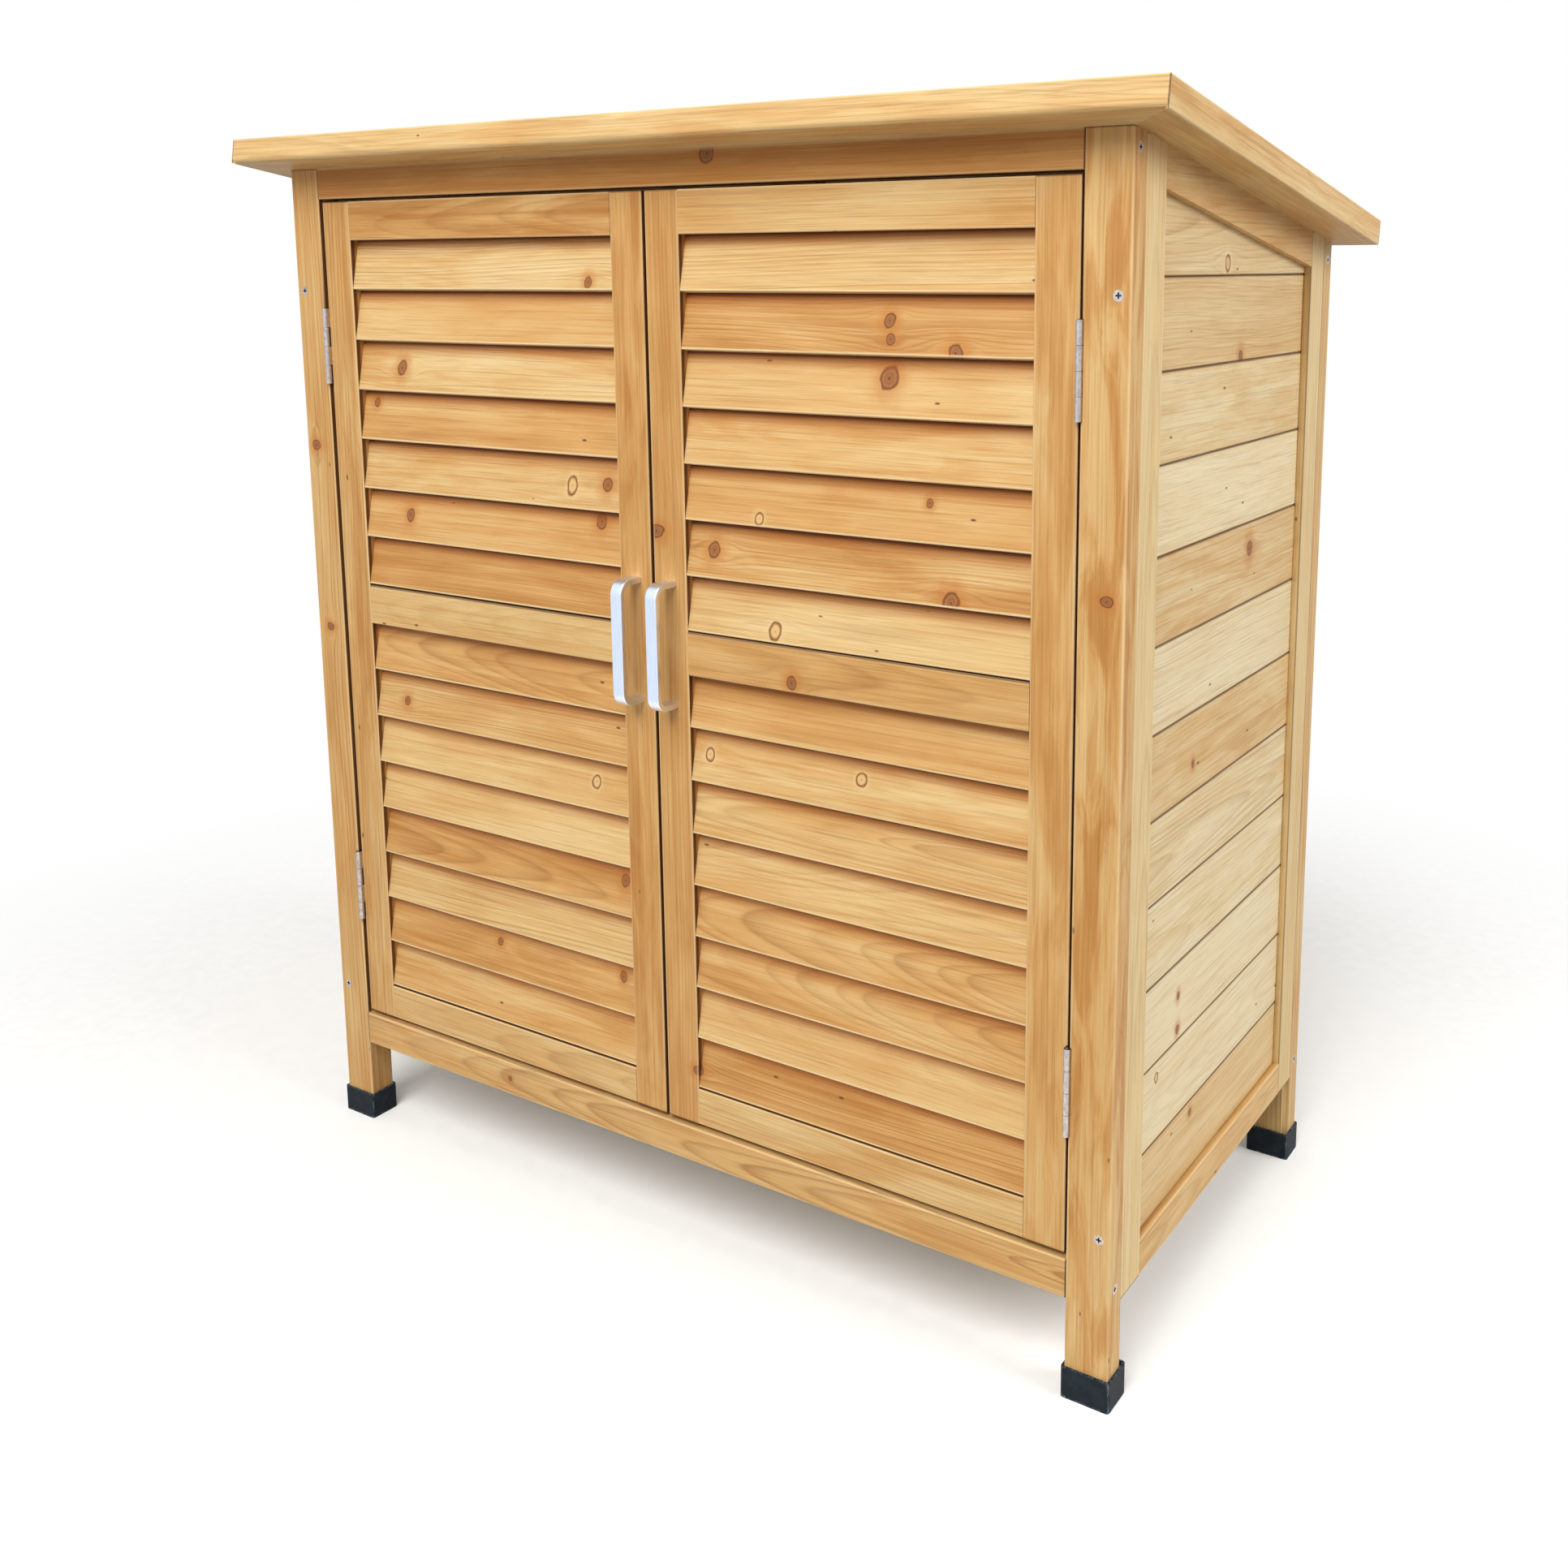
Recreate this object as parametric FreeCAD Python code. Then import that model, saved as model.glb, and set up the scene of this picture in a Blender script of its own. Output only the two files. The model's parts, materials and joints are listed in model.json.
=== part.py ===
import FreeCAD, Part
import os
from math import asin, atan, atan2, cos, degrees, floor, hypot, sin, tan

Vector = FreeCAD.Vector

# Garden storage cabinet: a mono-pitch roof on four legs, framed board sides and two louvred doors.
# Millimetres, +Z up, front faces -Y. The origin is on the ground under the middle of the roof.

# Overall sizes
roof_width = 870.0
roof_depth = 465.0
overall_height = 916.0
roof_fall = 96.0              # from the top front edge of the roof to its lower back edge
ground_clearance = 77.0       # to the underside of the bottom rails

# Legs and foot caps
leg_width = 34.0
leg_depth = 25.0
leg_rebate = 5.0              # step at the outer corner that takes the side stile's lip
rebate_clearance = 0.2
cap_height = 24.0
cap_wall = 2.1
cap_base = 3.0
cap_fit = 0.1
cap_corner = 2.5

# Roof: a mitred frame of flat members round a deck covered with felt
roof_thickness = 21.0
roof_member_width = 62.0
roof_front_overhang = 33.5    # from the legs
roof_rear_overhang = 16.0
roof_side_overhang = 33.0     # from the foot caps
roof_lower_arris = 5.0
deck_thickness = 9.0
felt_thickness = 2.0
deck_ledge = 14.0
deck_clearance = 0.5

# Wood finish
arris = 1.2                   # rounding along the edges of planed members
fine_arris = 0.6

# Front rails and the door opening
front_top_rail_height = 26.0
front_bottom_rail_height = 30.0
door_recess = 2.0
stop_clearance = 0.3

# Side and back frames
frame_thickness = 18.0
stile_width = 33.0
frame_top_rail_height = 28.0
frame_bottom_rail_height = 28.0
groove_depth = 6.0
groove_clearance = 0.15

# Tongued and grooved boards
board_thickness = 9.0
board_recess = 6.0
board_pitch = 63.4
tongue_height = 4.0
tongue_thickness = 3.0
tongue_clearance = 0.25
board_chamfer = 1.3

# Doors
door_thickness = 18.0
door_side_gap = 2.5
door_middle_gap = 3.0
door_top_gap = 2.5
door_bottom_gap = 4.0
hinge_stile_width = 33.0
meeting_stile_width = 32.0
door_top_rail_height = 33.0
door_mid_rail_height = 35.0
door_bottom_rail_height = 31.0
tenon_length = 15.0
tenon_thickness = 6.0
tenon_clearance = 0.15
tenon_shoulder = 8.0          # between the tenon and the rail's edges

# Louvres
louvre_spacing = 43.4         # roughly: each door takes a whole number of louvres
louvre_thickness = 7.0
louvre_height = 49.0
louvre_front_setback = 0.8
louvre_back_setback = 0.6
louvre_housing = 5.0
louvre_clearance = 0.2
rail_rebate_front = 8.5       # wood left in front of the rebate over the top louvre

# Floor, shelf and door stop
bearer_size = 20.0
floor_thickness = 10.0
floor_board_count = 12
floor_board_gap = 3.0
fit_clearance = 0.3
shelf_height = 505.0          # top of the shelf
shelf_thickness = 10.0
shelf_board_count = 6
shelf_board_gap = 8.0
shelf_setback = 28.0          # behind the front rails
shelf_bearer_width = 18.0
cleat_width = 30.0
cleat_thickness = 12.0
cleat_offset = 190.0
door_stop_depth = 15.0
door_stop_drop = 12.0
door_stop_lap = 16.0

# Hinges
hinge_height = 66.0
hinge_inset = 124.5           # hinge centre from the top and bottom of the door
hinge_proud = 2.8             # pin axis in front of the door face
knuckle_radius = 2.5
knuckle_count = 4
knuckle_gap = 0.3
pin_radius = 1.2
pin_clearance = 0.05
leaf_thickness = 1.2
leaf_depth = 16.0
hinge_clearance = 0.3
hinge_screw_spread = 22.0

# Handles
handle_length = 102.0
handle_projection = 25.0
handle_width = 11.0
handle_thickness = 5.0
handle_radius = 12.0
handle_arris = 0.8
handle_height = 513.0

# Catches
catch_width = 40.0
catch_depth = 14.0
catch_height = 12.0
catch_offset = 60.0
strike_thickness = 1.0
strike_margin = 2.0

# Screws: head radius, shank radius and length; the cross recess is in shares of the head
frame_screw = (3.7, 1.8, 40.0)
rail_screw = (3.7, 1.8, 52.0)
hinge_screw = (2.6, 1.3, 14.0)
handle_screw = (3.2, 1.5, 24.0)
screw_clearance = 0.05
screw_point = 2.0             # length of the point in shank radii
screw_blunt = 0.3             # radius of its tip in shank radii
cross_slot = 0.16
cross_arm = 0.55
cross_depth = 0.6
screw_inset = 9.0             # from the outer face of the leg
roof_screw_inset = 40.0       # from the stiles
side_screw_inset = 9.5        # from the front face of the leg
post_screw_inset = 131.0      # from the ground, and from the top of the roof

x_axis = Vector(1, 0, 0)
y_axis = Vector(0, 1, 0)
z_axis = Vector(0, 0, 1)


def slope_angle():
    """Slope at which the roof fits its depth and its fall, both measured outside."""
    angle = 0.0
    for _ in range(12):
        angle = atan((roof_fall - roof_thickness * cos(2 * angle) / cos(angle)) / roof_depth)
    return angle


# Planes that several pieces share

slope = slope_angle()
roof_length = (roof_depth - roof_thickness * sin(slope)) / cos(slope)
roof_front = -roof_depth / 2
roof_low_front = overall_height - roof_thickness * cos(slope)


def underside(y):
    """Height of the roof's underside at y."""
    return roof_low_front - (y - roof_front) * tan(slope)


def along_roof(y):
    """Distance from the roof's front edge, measured along its underside, to the point above y."""
    return (y - roof_front) / cos(slope)


leg_outer = roof_width / 2 - roof_side_overhang - cap_wall - cap_fit
leg_inner = leg_outer - leg_width
front_face = roof_front + roof_front_overhang
back_face = roof_depth / 2 - roof_rear_overhang
front_leg_back = front_face + leg_depth
rear_leg_front = back_face - leg_depth

front_rail_thickness = door_recess + door_thickness + stop_clearance
front_rail_back = front_face + front_rail_thickness
frame_inner = leg_outer - frame_thickness
back_frame_front = back_face - frame_thickness
front_stile_end = front_leg_back - leg_rebate + stile_width
rear_stile_start = rear_leg_front + leg_rebate - stile_width

opening_bottom = ground_clearance + front_bottom_rail_height
opening_top = underside(front_face) - front_top_rail_height
frame_rail_top = ground_clearance + frame_bottom_rail_height
tenon_reach = groove_depth - groove_clearance
board_start = frame_rail_top - tenon_reach

door_face = front_face + door_recess
door_back = door_face + door_thickness
door_outer = leg_inner - door_side_gap
door_inner = door_middle_gap / 2
door_bottom = opening_bottom + door_bottom_gap
door_top = opening_top - door_top_gap

hinge_x = (leg_inner + door_outer) / 2
hinge_y = door_face - hinge_proud
leaf_front = hinge_y + knuckle_radius + hinge_clearance
hinge_centres = (door_bottom + hinge_inset, door_top - hinge_inset)

pieces = {}


def box(x0, x1, y0, y1, z0, z1):
    return Part.makeBox(x1 - x0, y1 - y0, z1 - z0, Vector(x0, y0, z0))


def outline(points, radii, place):
    """Face inside a closed outline of 2D points with rounded corners; place puts each point in space."""
    flat = [Vector(a, b, 0) for a, b in points]
    rounded = []
    for before, corner, after, radius in zip(flat[-1:] + flat[:-1], flat, flat[1:] + flat[:1], radii):
        if radius <= 0:
            rounded.append((corner, None, corner))
            continue
        back = (before - corner).normalize()
        ahead = (after - corner).normalize()
        half = back.getAngle(ahead) / 2
        middle = (back + ahead).normalize()
        centre = corner + middle * (radius / sin(half))
        reach = radius / tan(half)
        rounded.append((corner + back * reach, centre - middle * radius, corner + ahead * reach))
    edges = []
    for (start, through, end), following in zip(rounded, rounded[1:] + rounded[:1]):
        if through is not None:
            edges.append(Part.Arc(place(start), place(through), place(end)).toShape())
        edges.append(Part.LineSegment(place(end), place(following[0])).toShape())
    return Part.Face(Part.Wire(edges))


def member(x0, x1, y0, y1, z0, z1, along, radius=arris):
    """Planed timber: a box whose four long edges are slightly rounded."""
    if along == "x":
        corners = [(y0, z0), (y1, z0), (y1, z1), (y0, z1)]
        return outline(corners, [radius] * 4, lambda p: Vector(x0, p.x, p.y)).extrude(x_axis * (x1 - x0))
    if along == "y":
        corners = [(x0, z0), (x1, z0), (x1, z1), (x0, z1)]
        return outline(corners, [radius] * 4, lambda p: Vector(p.x, y0, p.y)).extrude(y_axis * (y1 - y0))
    corners = [(x0, y0), (x1, y0), (x1, y1), (x0, y1)]
    return outline(corners, [radius] * 4, lambda p: Vector(p.x, p.y, z0)).extrude(z_axis * (z1 - z0))


def across(points, x0, x1):
    """Prism of a (y, z) polygon between two x planes."""
    return outline(points, [0] * len(points), lambda p: Vector(x0, p.x, p.y)).extrude(x_axis * (x1 - x0))


def mirrored(shape):
    return shape.mirror(Vector(0, 0, 0), x_axis)


def both_sides(shapes):
    """Right-hand shapes followed by their mirror images on the left."""
    return shapes + [mirrored(shape) for shape in shapes]


def below_roof(shape):
    """Shape cut off at the roof's underside."""
    far = roof_width
    return shape.common(across([(-far, 0), (far, 0), (far, underside(far)), (-far, underside(-far))], -far, far))


def tilted(shape):
    """Shape from the roof's flat frame, moved to its place on the cabinet."""
    placement = FreeCAD.Placement(Vector(0, roof_front, roof_low_front), FreeCAD.Rotation(x_axis, -degrees(slope)))
    return shape.transformed(placement.toMatrix(), True)


def keep(name, *solids):
    """Store the solids of one sub-part."""
    pieces[name] = list(solids)


def keep_pair(name, *solids):
    """Store a right-hand sub-part and its mirror image on the left."""
    keep(name.format("right"), *solids)
    keep(name.format("left"), *[mirrored(solid) for solid in solids])


# Screws


def screw(position, outward, size, grow=0.0):
    """Countersunk cross-head screw with its head flush at position; grow widens it into the hole it needs."""
    head, shank, length = size
    head_depth = head - shank
    tip = screw_point * shank
    blunt = screw_blunt * shank
    straight = length - head_depth - tip
    body = Part.makeCone(head + grow, shank + grow, head_depth, Vector(0, 0, 0), -z_axis)
    body = body.fuse(Part.makeCylinder(shank + grow, straight, Vector(0, 0, -head_depth), -z_axis))
    body = body.fuse(Part.makeCone(shank + grow, blunt + grow, tip, Vector(0, 0, tip - length), -z_axis))
    if grow == 0:
        slot = cross_slot * head
        arm = cross_arm * head
        deep = cross_depth * head_depth
        body = body.cut([box(-arm, arm, -slot, slot, -deep, deep), box(-slot, slot, -arm, arm, -deep, deep)])
    body.Placement = FreeCAD.Placement(position, FreeCAD.Rotation(z_axis, outward))
    return body


def holes(placed_screws):
    """Holes that a list of (position, outward, size) screws needs."""
    return [screw(position, outward, size, screw_clearance) for position, outward, size in placed_screws]


def driven(placed_screws):
    """The screws themselves."""
    return [screw(position, outward, size) for position, outward, size in placed_screws]


post_screws = []
for height in (post_screw_inset, overall_height - post_screw_inset):
    post_screws.append((Vector(leg_outer - screw_inset, front_face, height), -y_axis, frame_screw))
    post_screws.append((Vector(leg_outer - screw_inset, back_face, height), y_axis, frame_screw))

rail_screws = []
bottom_rail_middle = ground_clearance + frame_bottom_rail_height / 2
front_top_rail_middle = opening_top + front_top_rail_height / 2
back_top_rail_middle = underside(back_face) - frame_top_rail_height / 2
for height in (bottom_rail_middle, front_top_rail_middle):
    rail_screws.append((Vector(leg_outer, front_face + side_screw_inset, height), x_axis, rail_screw))
for height in (bottom_rail_middle, back_top_rail_middle):
    rail_screws.append((Vector(leg_outer, back_face - side_screw_inset, height), x_axis, rail_screw))

leg_holes = holes(post_screws + rail_screws)
rail_holes = both_sides(holes(rail_screws))

roof_screws = []
side_seat = (frame_inner + leg_outer) / 2
for y in (front_stile_end + roof_screw_inset, rear_stile_start - roof_screw_inset):
    roof_screws.append((Vector(side_seat, along_roof(y), roof_thickness), z_axis, frame_screw))
for y in (front_face + front_rail_thickness / 2, back_face - frame_thickness / 2):
    roof_screws.append((Vector(leg_inner / 2, along_roof(y), roof_thickness), z_axis, frame_screw))
roof_holes = both_sides(holes(roof_screws))
seat_holes = [tilted(hole) for hole in roof_holes]


# Hinges, built on the right and mirrored


def leaf_span(side):
    """x planes of a leaf let into the leg (side 1) or into the door's edge (side -1)."""
    near = hinge_x + side * door_side_gap / 2
    far = near + side * leaf_thickness
    return min(near, far), max(near, far)


def leaf_screws(centre, side):
    """Three screws through a leaf, with their heads in the gap between the door and the leg."""
    face = hinge_x + side * door_side_gap / 2
    middle = leaf_front + leaf_depth / 2
    return [(Vector(face, middle, centre + step * hinge_screw_spread), x_axis * -side, hinge_screw)
            for step in (-1, 0, 1)]


def leaf(centre, side, first):
    """Hinge leaf with every second knuckle, counted from first at the bottom."""
    x0, x1 = leaf_span(side)
    bottom, top = centre - hinge_height / 2, centre + hinge_height / 2
    pitch = hinge_height / knuckle_count
    parts = []
    for index in range(first, knuckle_count, 2):
        low = bottom + index * pitch + knuckle_gap / 2
        high = low + pitch - knuckle_gap
        parts.append(Part.makeCylinder(knuckle_radius, high - low, Vector(hinge_x, hinge_y, low)))
        parts.append(box(x0, x1, hinge_y, leaf_front, low, high))
    plate = box(x0, x1, leaf_front, leaf_front + leaf_depth, bottom, top).fuse(parts).removeSplitter()
    bore = Part.makeCylinder(pin_radius + pin_clearance, hinge_height, Vector(hinge_x, hinge_y, bottom))
    return plate.cut([bore] + holes(leaf_screws(centre, side)))


def leaf_pocket(centre, side):
    """Mortise for a leaf, with room for the knuckles."""
    x0, x1 = leaf_span(side)
    bottom = centre - hinge_height / 2 - hinge_clearance
    top = centre + hinge_height / 2 + hinge_clearance
    pocket = box(x0, x1, hinge_y, leaf_front + leaf_depth + hinge_clearance, bottom, top)
    room = Part.makeCylinder(knuckle_radius + hinge_clearance, top - bottom, Vector(hinge_x, hinge_y, bottom))
    return pocket.fuse(room)


leg_hinge_screws = [placed for centre in hinge_centres for placed in leaf_screws(centre, 1)]
door_hinge_screws = [placed for centre in hinge_centres for placed in leaf_screws(centre, -1)]
leg_pockets = [leaf_pocket(centre, 1) for centre in hinge_centres]
door_pockets = [leaf_pocket(centre, -1) for centre in hinge_centres]
hinge_pins = [Part.makeCylinder(pin_radius, hinge_height, Vector(hinge_x, hinge_y, centre - hinge_height / 2))
              for centre in hinge_centres]


# Legs and foot caps


def leg(y0, y1, rebate_y0, rebate_y1):
    """Leg from the floor of its cap to the roof, with the rebate that takes the side stile's lip."""
    shape = member(leg_inner, leg_outer, y0, y1, cap_base, overall_height, "z")
    step = box(leg_outer - leg_rebate, leg_outer, rebate_y0, rebate_y1, 0, overall_height)
    return below_roof(shape.cut(step)).cut(leg_holes)


def foot_cap(y0, y1):
    """Moulded cap round the foot of a leg."""
    wall = cap_wall + cap_fit
    outer = member(leg_inner - wall, leg_outer + wall, y0 - wall, y1 + wall, 0, cap_height, "z", cap_corner)
    pocket = box(leg_inner - cap_fit, leg_outer + cap_fit, y0 - cap_fit, y1 + cap_fit, cap_base, cap_height)
    return outer.cut(pocket)


front_leg = leg(front_face, front_leg_back, front_leg_back - leg_rebate, front_leg_back)
rear_leg = leg(rear_leg_front, back_face, rear_leg_front, rear_leg_front + leg_rebate)
keep_pair("front_{}_leg", front_leg.cut(leg_pockets + holes(leg_hinge_screws)))
keep_pair("rear_{}_leg", rear_leg)
keep("foot_caps", *both_sides([foot_cap(front_face, front_leg_back), foot_cap(rear_leg_front, back_face)]))

# Front rails

front_top_rail = member(-leg_inner, leg_inner, front_face, front_rail_back, opening_top, overall_height, "x")
front_bottom_rail = member(-leg_inner, leg_inner, front_face, front_rail_back,
                           ground_clearance, opening_bottom, "x")
keep("front_top_rail", below_roof(front_top_rail).cut(rail_holes + seat_holes))
keep("front_bottom_rail", front_bottom_rail.cut(rail_holes))


# Boards of the side and back frames


def board(place, run, height, pitch):
    """Tongued and grooved board; place maps depth from the outer face and height, run is its length."""
    tongue_start = (board_thickness - tongue_thickness) / 2
    tongue_end = tongue_start + tongue_thickness
    groove_start = tongue_start - tongue_clearance
    groove_end = tongue_end + tongue_clearance
    groove_top = tongue_height + tongue_clearance
    points = [(board_chamfer, 0), (groove_start, 0), (groove_start, groove_top), (groove_end, groove_top),
              (groove_end, 0), (board_thickness, 0), (board_thickness, pitch), (tongue_end, pitch),
              (tongue_end, pitch + tongue_height), (tongue_start, pitch + tongue_height),
              (tongue_start, pitch), (board_chamfer, pitch), (0, pitch - board_chamfer), (0, board_chamfer)]
    face = outline(points, [0] * len(points), lambda p: place(p.x, height + p.y))
    return face.extrude(run)


def stack(place, run, pitch, count, limit):
    """Boards one above the other, the last from a taller blank, all cut to the shape of limit."""
    boards = []
    for index in range(count):
        blank = pitch if index < count - 1 else 2 * pitch
        boards.extend(board(place, run, board_start + index * pitch, blank).common(limit).Solids)
    return boards


# Side frames, built on the right and mirrored

side_groove_x = (leg_outer - board_recess - board_thickness - groove_clearance,
                 leg_outer - board_recess + groove_clearance)
side_board_x = (leg_outer - board_recess - board_thickness, leg_outer - board_recess)


def side_stile(y0, y1, lip_y0, lip_y1, groove_y0, groove_y1):
    """Stile of a side frame, with the lip that laps into the leg and the groove for boards and rails."""
    shape = member(frame_inner, leg_outer, y0, y1, ground_clearance, overall_height, "z", fine_arris)
    lip = member(leg_outer - leg_rebate + rebate_clearance, leg_outer, lip_y0, lip_y1,
                 ground_clearance, overall_height, "z", fine_arris)
    groove = box(*side_groove_x, groove_y0, groove_y1, 0, overall_height)
    shape = shape.fuse(lip).removeSplitter().cut(groove)
    return below_roof(shape).cut(leg_holes)


side_front_stile = side_stile(front_leg_back, front_stile_end,
                              front_leg_back - leg_rebate + rebate_clearance, front_leg_back + leg_rebate,
                              front_stile_end - groove_depth, front_stile_end)
side_rear_stile = side_stile(rear_stile_start, rear_leg_front,
                             rear_leg_front - leg_rebate, rear_leg_front + leg_rebate - rebate_clearance,
                             rear_stile_start, rear_stile_start + groove_depth)


def sloped_band(y0, y1, low, high, x0, x1):
    """Solid between two planes that lie low and high below the roof's underside."""
    corners = [(y0, underside(y0) - low), (y1, underside(y1) - low),
               (y1, underside(y1) - high), (y0, underside(y0) - high)]
    return across(corners, x0, x1)


tongue_y = (front_stile_end - tenon_reach, rear_stile_start + tenon_reach)
groove_line = frame_top_rail_height - groove_depth
side_top_rail = sloped_band(front_stile_end, rear_stile_start, frame_top_rail_height, 0, frame_inner, leg_outer)
side_top_tongue = sloped_band(*tongue_y, groove_line, 0, *side_board_x)
side_top_groove = sloped_band(front_stile_end, rear_stile_start, frame_top_rail_height, groove_line, *side_groove_x)
side_top_rail = side_top_rail.fuse(side_top_tongue).removeSplitter().cut([side_top_groove] + seat_holes)

side_bottom_rail = member(frame_inner, leg_outer, front_stile_end, rear_stile_start,
                          ground_clearance, frame_rail_top, "y", fine_arris)
side_bottom_tongue = box(*side_board_x, *tongue_y, ground_clearance, frame_rail_top - groove_depth)
side_bottom_groove = box(*side_groove_x, front_stile_end, rear_stile_start,
                         frame_rail_top - groove_depth, frame_rail_top)
side_bottom_rail = side_bottom_rail.fuse(side_bottom_tongue).removeSplitter().cut(side_bottom_groove)

panel_drop = groove_line + groove_clearance
side_panel = across([(tongue_y[0], board_start), (tongue_y[1], board_start),
                     (tongue_y[1], underside(tongue_y[1]) - panel_drop),
                     (tongue_y[0], underside(tongue_y[0]) - panel_drop)], *side_board_x)
side_board_count = floor((underside(tongue_y[0]) - panel_drop - board_start) / board_pitch)
side_boards = stack(lambda depth, height: Vector(side_board_x[1] - depth, tongue_y[0], height),
                    y_axis * (tongue_y[1] - tongue_y[0]), board_pitch, side_board_count, side_panel)
keep_pair("{}_side_front_stile", side_front_stile)
keep_pair("{}_side_rear_stile", side_rear_stile)
keep_pair("{}_side_top_rail", side_top_rail)
keep_pair("{}_side_bottom_rail", side_bottom_rail)
keep_pair("{}_side_boards", *side_boards)

# Back frame, between the rear legs

back_groove_y = (back_face - board_recess - board_thickness - groove_clearance,
                 back_face - board_recess + groove_clearance)
back_board_y = (back_face - board_recess - board_thickness, back_face - board_recess)
back_stile_start = leg_inner - stile_width
back_tongue_x = back_stile_start + tenon_reach
back_rail_bottom = underside(back_face) - frame_top_rail_height

back_stile = member(back_stile_start, leg_inner, back_frame_front, back_face,
                    ground_clearance, overall_height, "z", fine_arris)
back_groove = box(back_stile_start, back_stile_start + groove_depth, *back_groove_y, 0, overall_height)
keep_pair("back_{}_stile", below_roof(back_stile.cut([back_groove] + holes(rail_screws))))

back_top_rail = member(-back_stile_start, back_stile_start, back_frame_front, back_face,
                       back_rail_bottom, overall_height, "x", fine_arris)
back_top_tongue = box(-back_tongue_x, back_tongue_x, *back_board_y, back_rail_bottom + groove_depth, overall_height)
back_top_groove = box(-back_stile_start, back_stile_start, *back_groove_y,
                      back_rail_bottom, back_rail_bottom + groove_depth)
back_top_rail = back_top_rail.fuse(back_top_tongue).removeSplitter().cut(back_top_groove)
keep("back_top_rail", below_roof(back_top_rail).cut(seat_holes))

back_bottom_rail = member(-back_stile_start, back_stile_start, back_frame_front, back_face,
                          ground_clearance, frame_rail_top, "x", fine_arris)
back_bottom_tongue = box(-back_tongue_x, back_tongue_x, *back_board_y,
                         ground_clearance, frame_rail_top - groove_depth)
back_bottom_groove = box(-back_stile_start, back_stile_start, *back_groove_y,
                         frame_rail_top - groove_depth, frame_rail_top)
keep("back_bottom_rail", back_bottom_rail.fuse(back_bottom_tongue).removeSplitter().cut(back_bottom_groove))

back_panel_top = back_rail_bottom + groove_depth - groove_clearance
back_panel = box(-back_tongue_x, back_tongue_x, *back_board_y, board_start, back_panel_top)
back_board_count = round((back_panel_top - board_start) / board_pitch)
back_pitch = (back_panel_top - board_start) / back_board_count
keep("back_boards", *stack(lambda depth, height: Vector(-back_tongue_x, back_board_y[1] - depth, height),
                           x_axis * (2 * back_tongue_x), back_pitch, back_board_count, back_panel))


# Roof, built flat in its own plane and then tilted


def mitred(profile, radii, place, run, corners):
    """Roof frame member: a rounded profile extruded along the roof and cut to its mitres."""
    bar = outline(profile, radii, place).extrude(run)
    plan = outline(corners, [0] * len(corners), lambda p: Vector(p.x, p.y, 0)).extrude(z_axis * roof_thickness)
    return tilted(bar.common(plan).cut([deck_room] + roof_holes))


half_width = roof_width / 2
inner_x = half_width - roof_member_width
inner_back = roof_length - roof_member_width
deck_bottom = roof_thickness - deck_thickness - felt_thickness
deck_x = inner_x + deck_ledge
deck_y = (roof_member_width - deck_ledge, inner_back + deck_ledge)
deck_room = box(-deck_x, deck_x, *deck_y, deck_bottom, roof_thickness)

front_profile = [(0, 0), (roof_member_width, 0), (roof_member_width, roof_thickness), (0, roof_thickness)]
rear_profile = [(inner_back, 0), (roof_length, 0), (roof_length, roof_thickness), (inner_back, roof_thickness)]
side_profile = [(inner_x, 0), (half_width, 0), (half_width, roof_thickness), (inner_x, roof_thickness)]
front_corners = [(-half_width, 0), (half_width, 0), (inner_x, roof_member_width), (-inner_x, roof_member_width)]
rear_corners = [(-half_width, roof_length), (half_width, roof_length), (inner_x, inner_back), (-inner_x, inner_back)]
side_corners = [(half_width, 0), (half_width, roof_length), (inner_x, inner_back), (inner_x, roof_member_width)]

keep("roof_front_member", mitred(front_profile, [roof_lower_arris, arris, arris, arris],
                                 lambda p: Vector(-half_width, p.x, p.y), x_axis * roof_width, front_corners))
keep("roof_rear_member", mitred(rear_profile, [arris] * 4,
                                lambda p: Vector(-half_width, p.x, p.y), x_axis * roof_width, rear_corners))
keep_pair("roof_{}_member", mitred(side_profile, [arris] * 4,
                                   lambda p: Vector(p.x, 0, p.y), y_axis * roof_length, side_corners))

deck_edge = (-deck_x + deck_clearance, deck_x - deck_clearance, deck_y[0] + deck_clearance, deck_y[1] - deck_clearance)
keep("roof_deck", tilted(box(*deck_edge, deck_bottom, deck_bottom + deck_thickness)))
keep("roof_felt", tilted(box(*deck_edge, deck_bottom + deck_thickness, roof_thickness)))

# Floor, shelf and door stop

between_legs = leg_inner - fit_clearance
keep("floor_bearers",
     member(-between_legs, between_legs, front_rail_back, front_rail_back + bearer_size,
            opening_bottom - bearer_size, opening_bottom, "x"),
     member(-between_legs, between_legs, back_frame_front - bearer_size, back_frame_front,
            opening_bottom - bearer_size, opening_bottom, "x"))

floor_top = opening_bottom + floor_thickness
floor_edge = frame_inner - fit_clearance
floor_pitch = (2 * floor_edge + floor_board_gap) / floor_board_count
front_notch = box(leg_inner - fit_clearance, leg_outer, front_face, front_leg_back + fit_clearance, 0, floor_top)
rear_notch = box(leg_inner - fit_clearance, leg_outer, rear_leg_front - fit_clearance, back_face, 0, floor_top)
notches = both_sides([front_notch, rear_notch])
floor_boards = []
for index in range(floor_board_count):
    start = -floor_edge + index * floor_pitch
    plank = member(start, start + floor_pitch - floor_board_gap, front_rail_back,
                   back_frame_front - fit_clearance, opening_bottom, floor_top, "y")
    floor_boards.extend(plank.cut(notches).Solids)
keep("floor_boards", *floor_boards)

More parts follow.
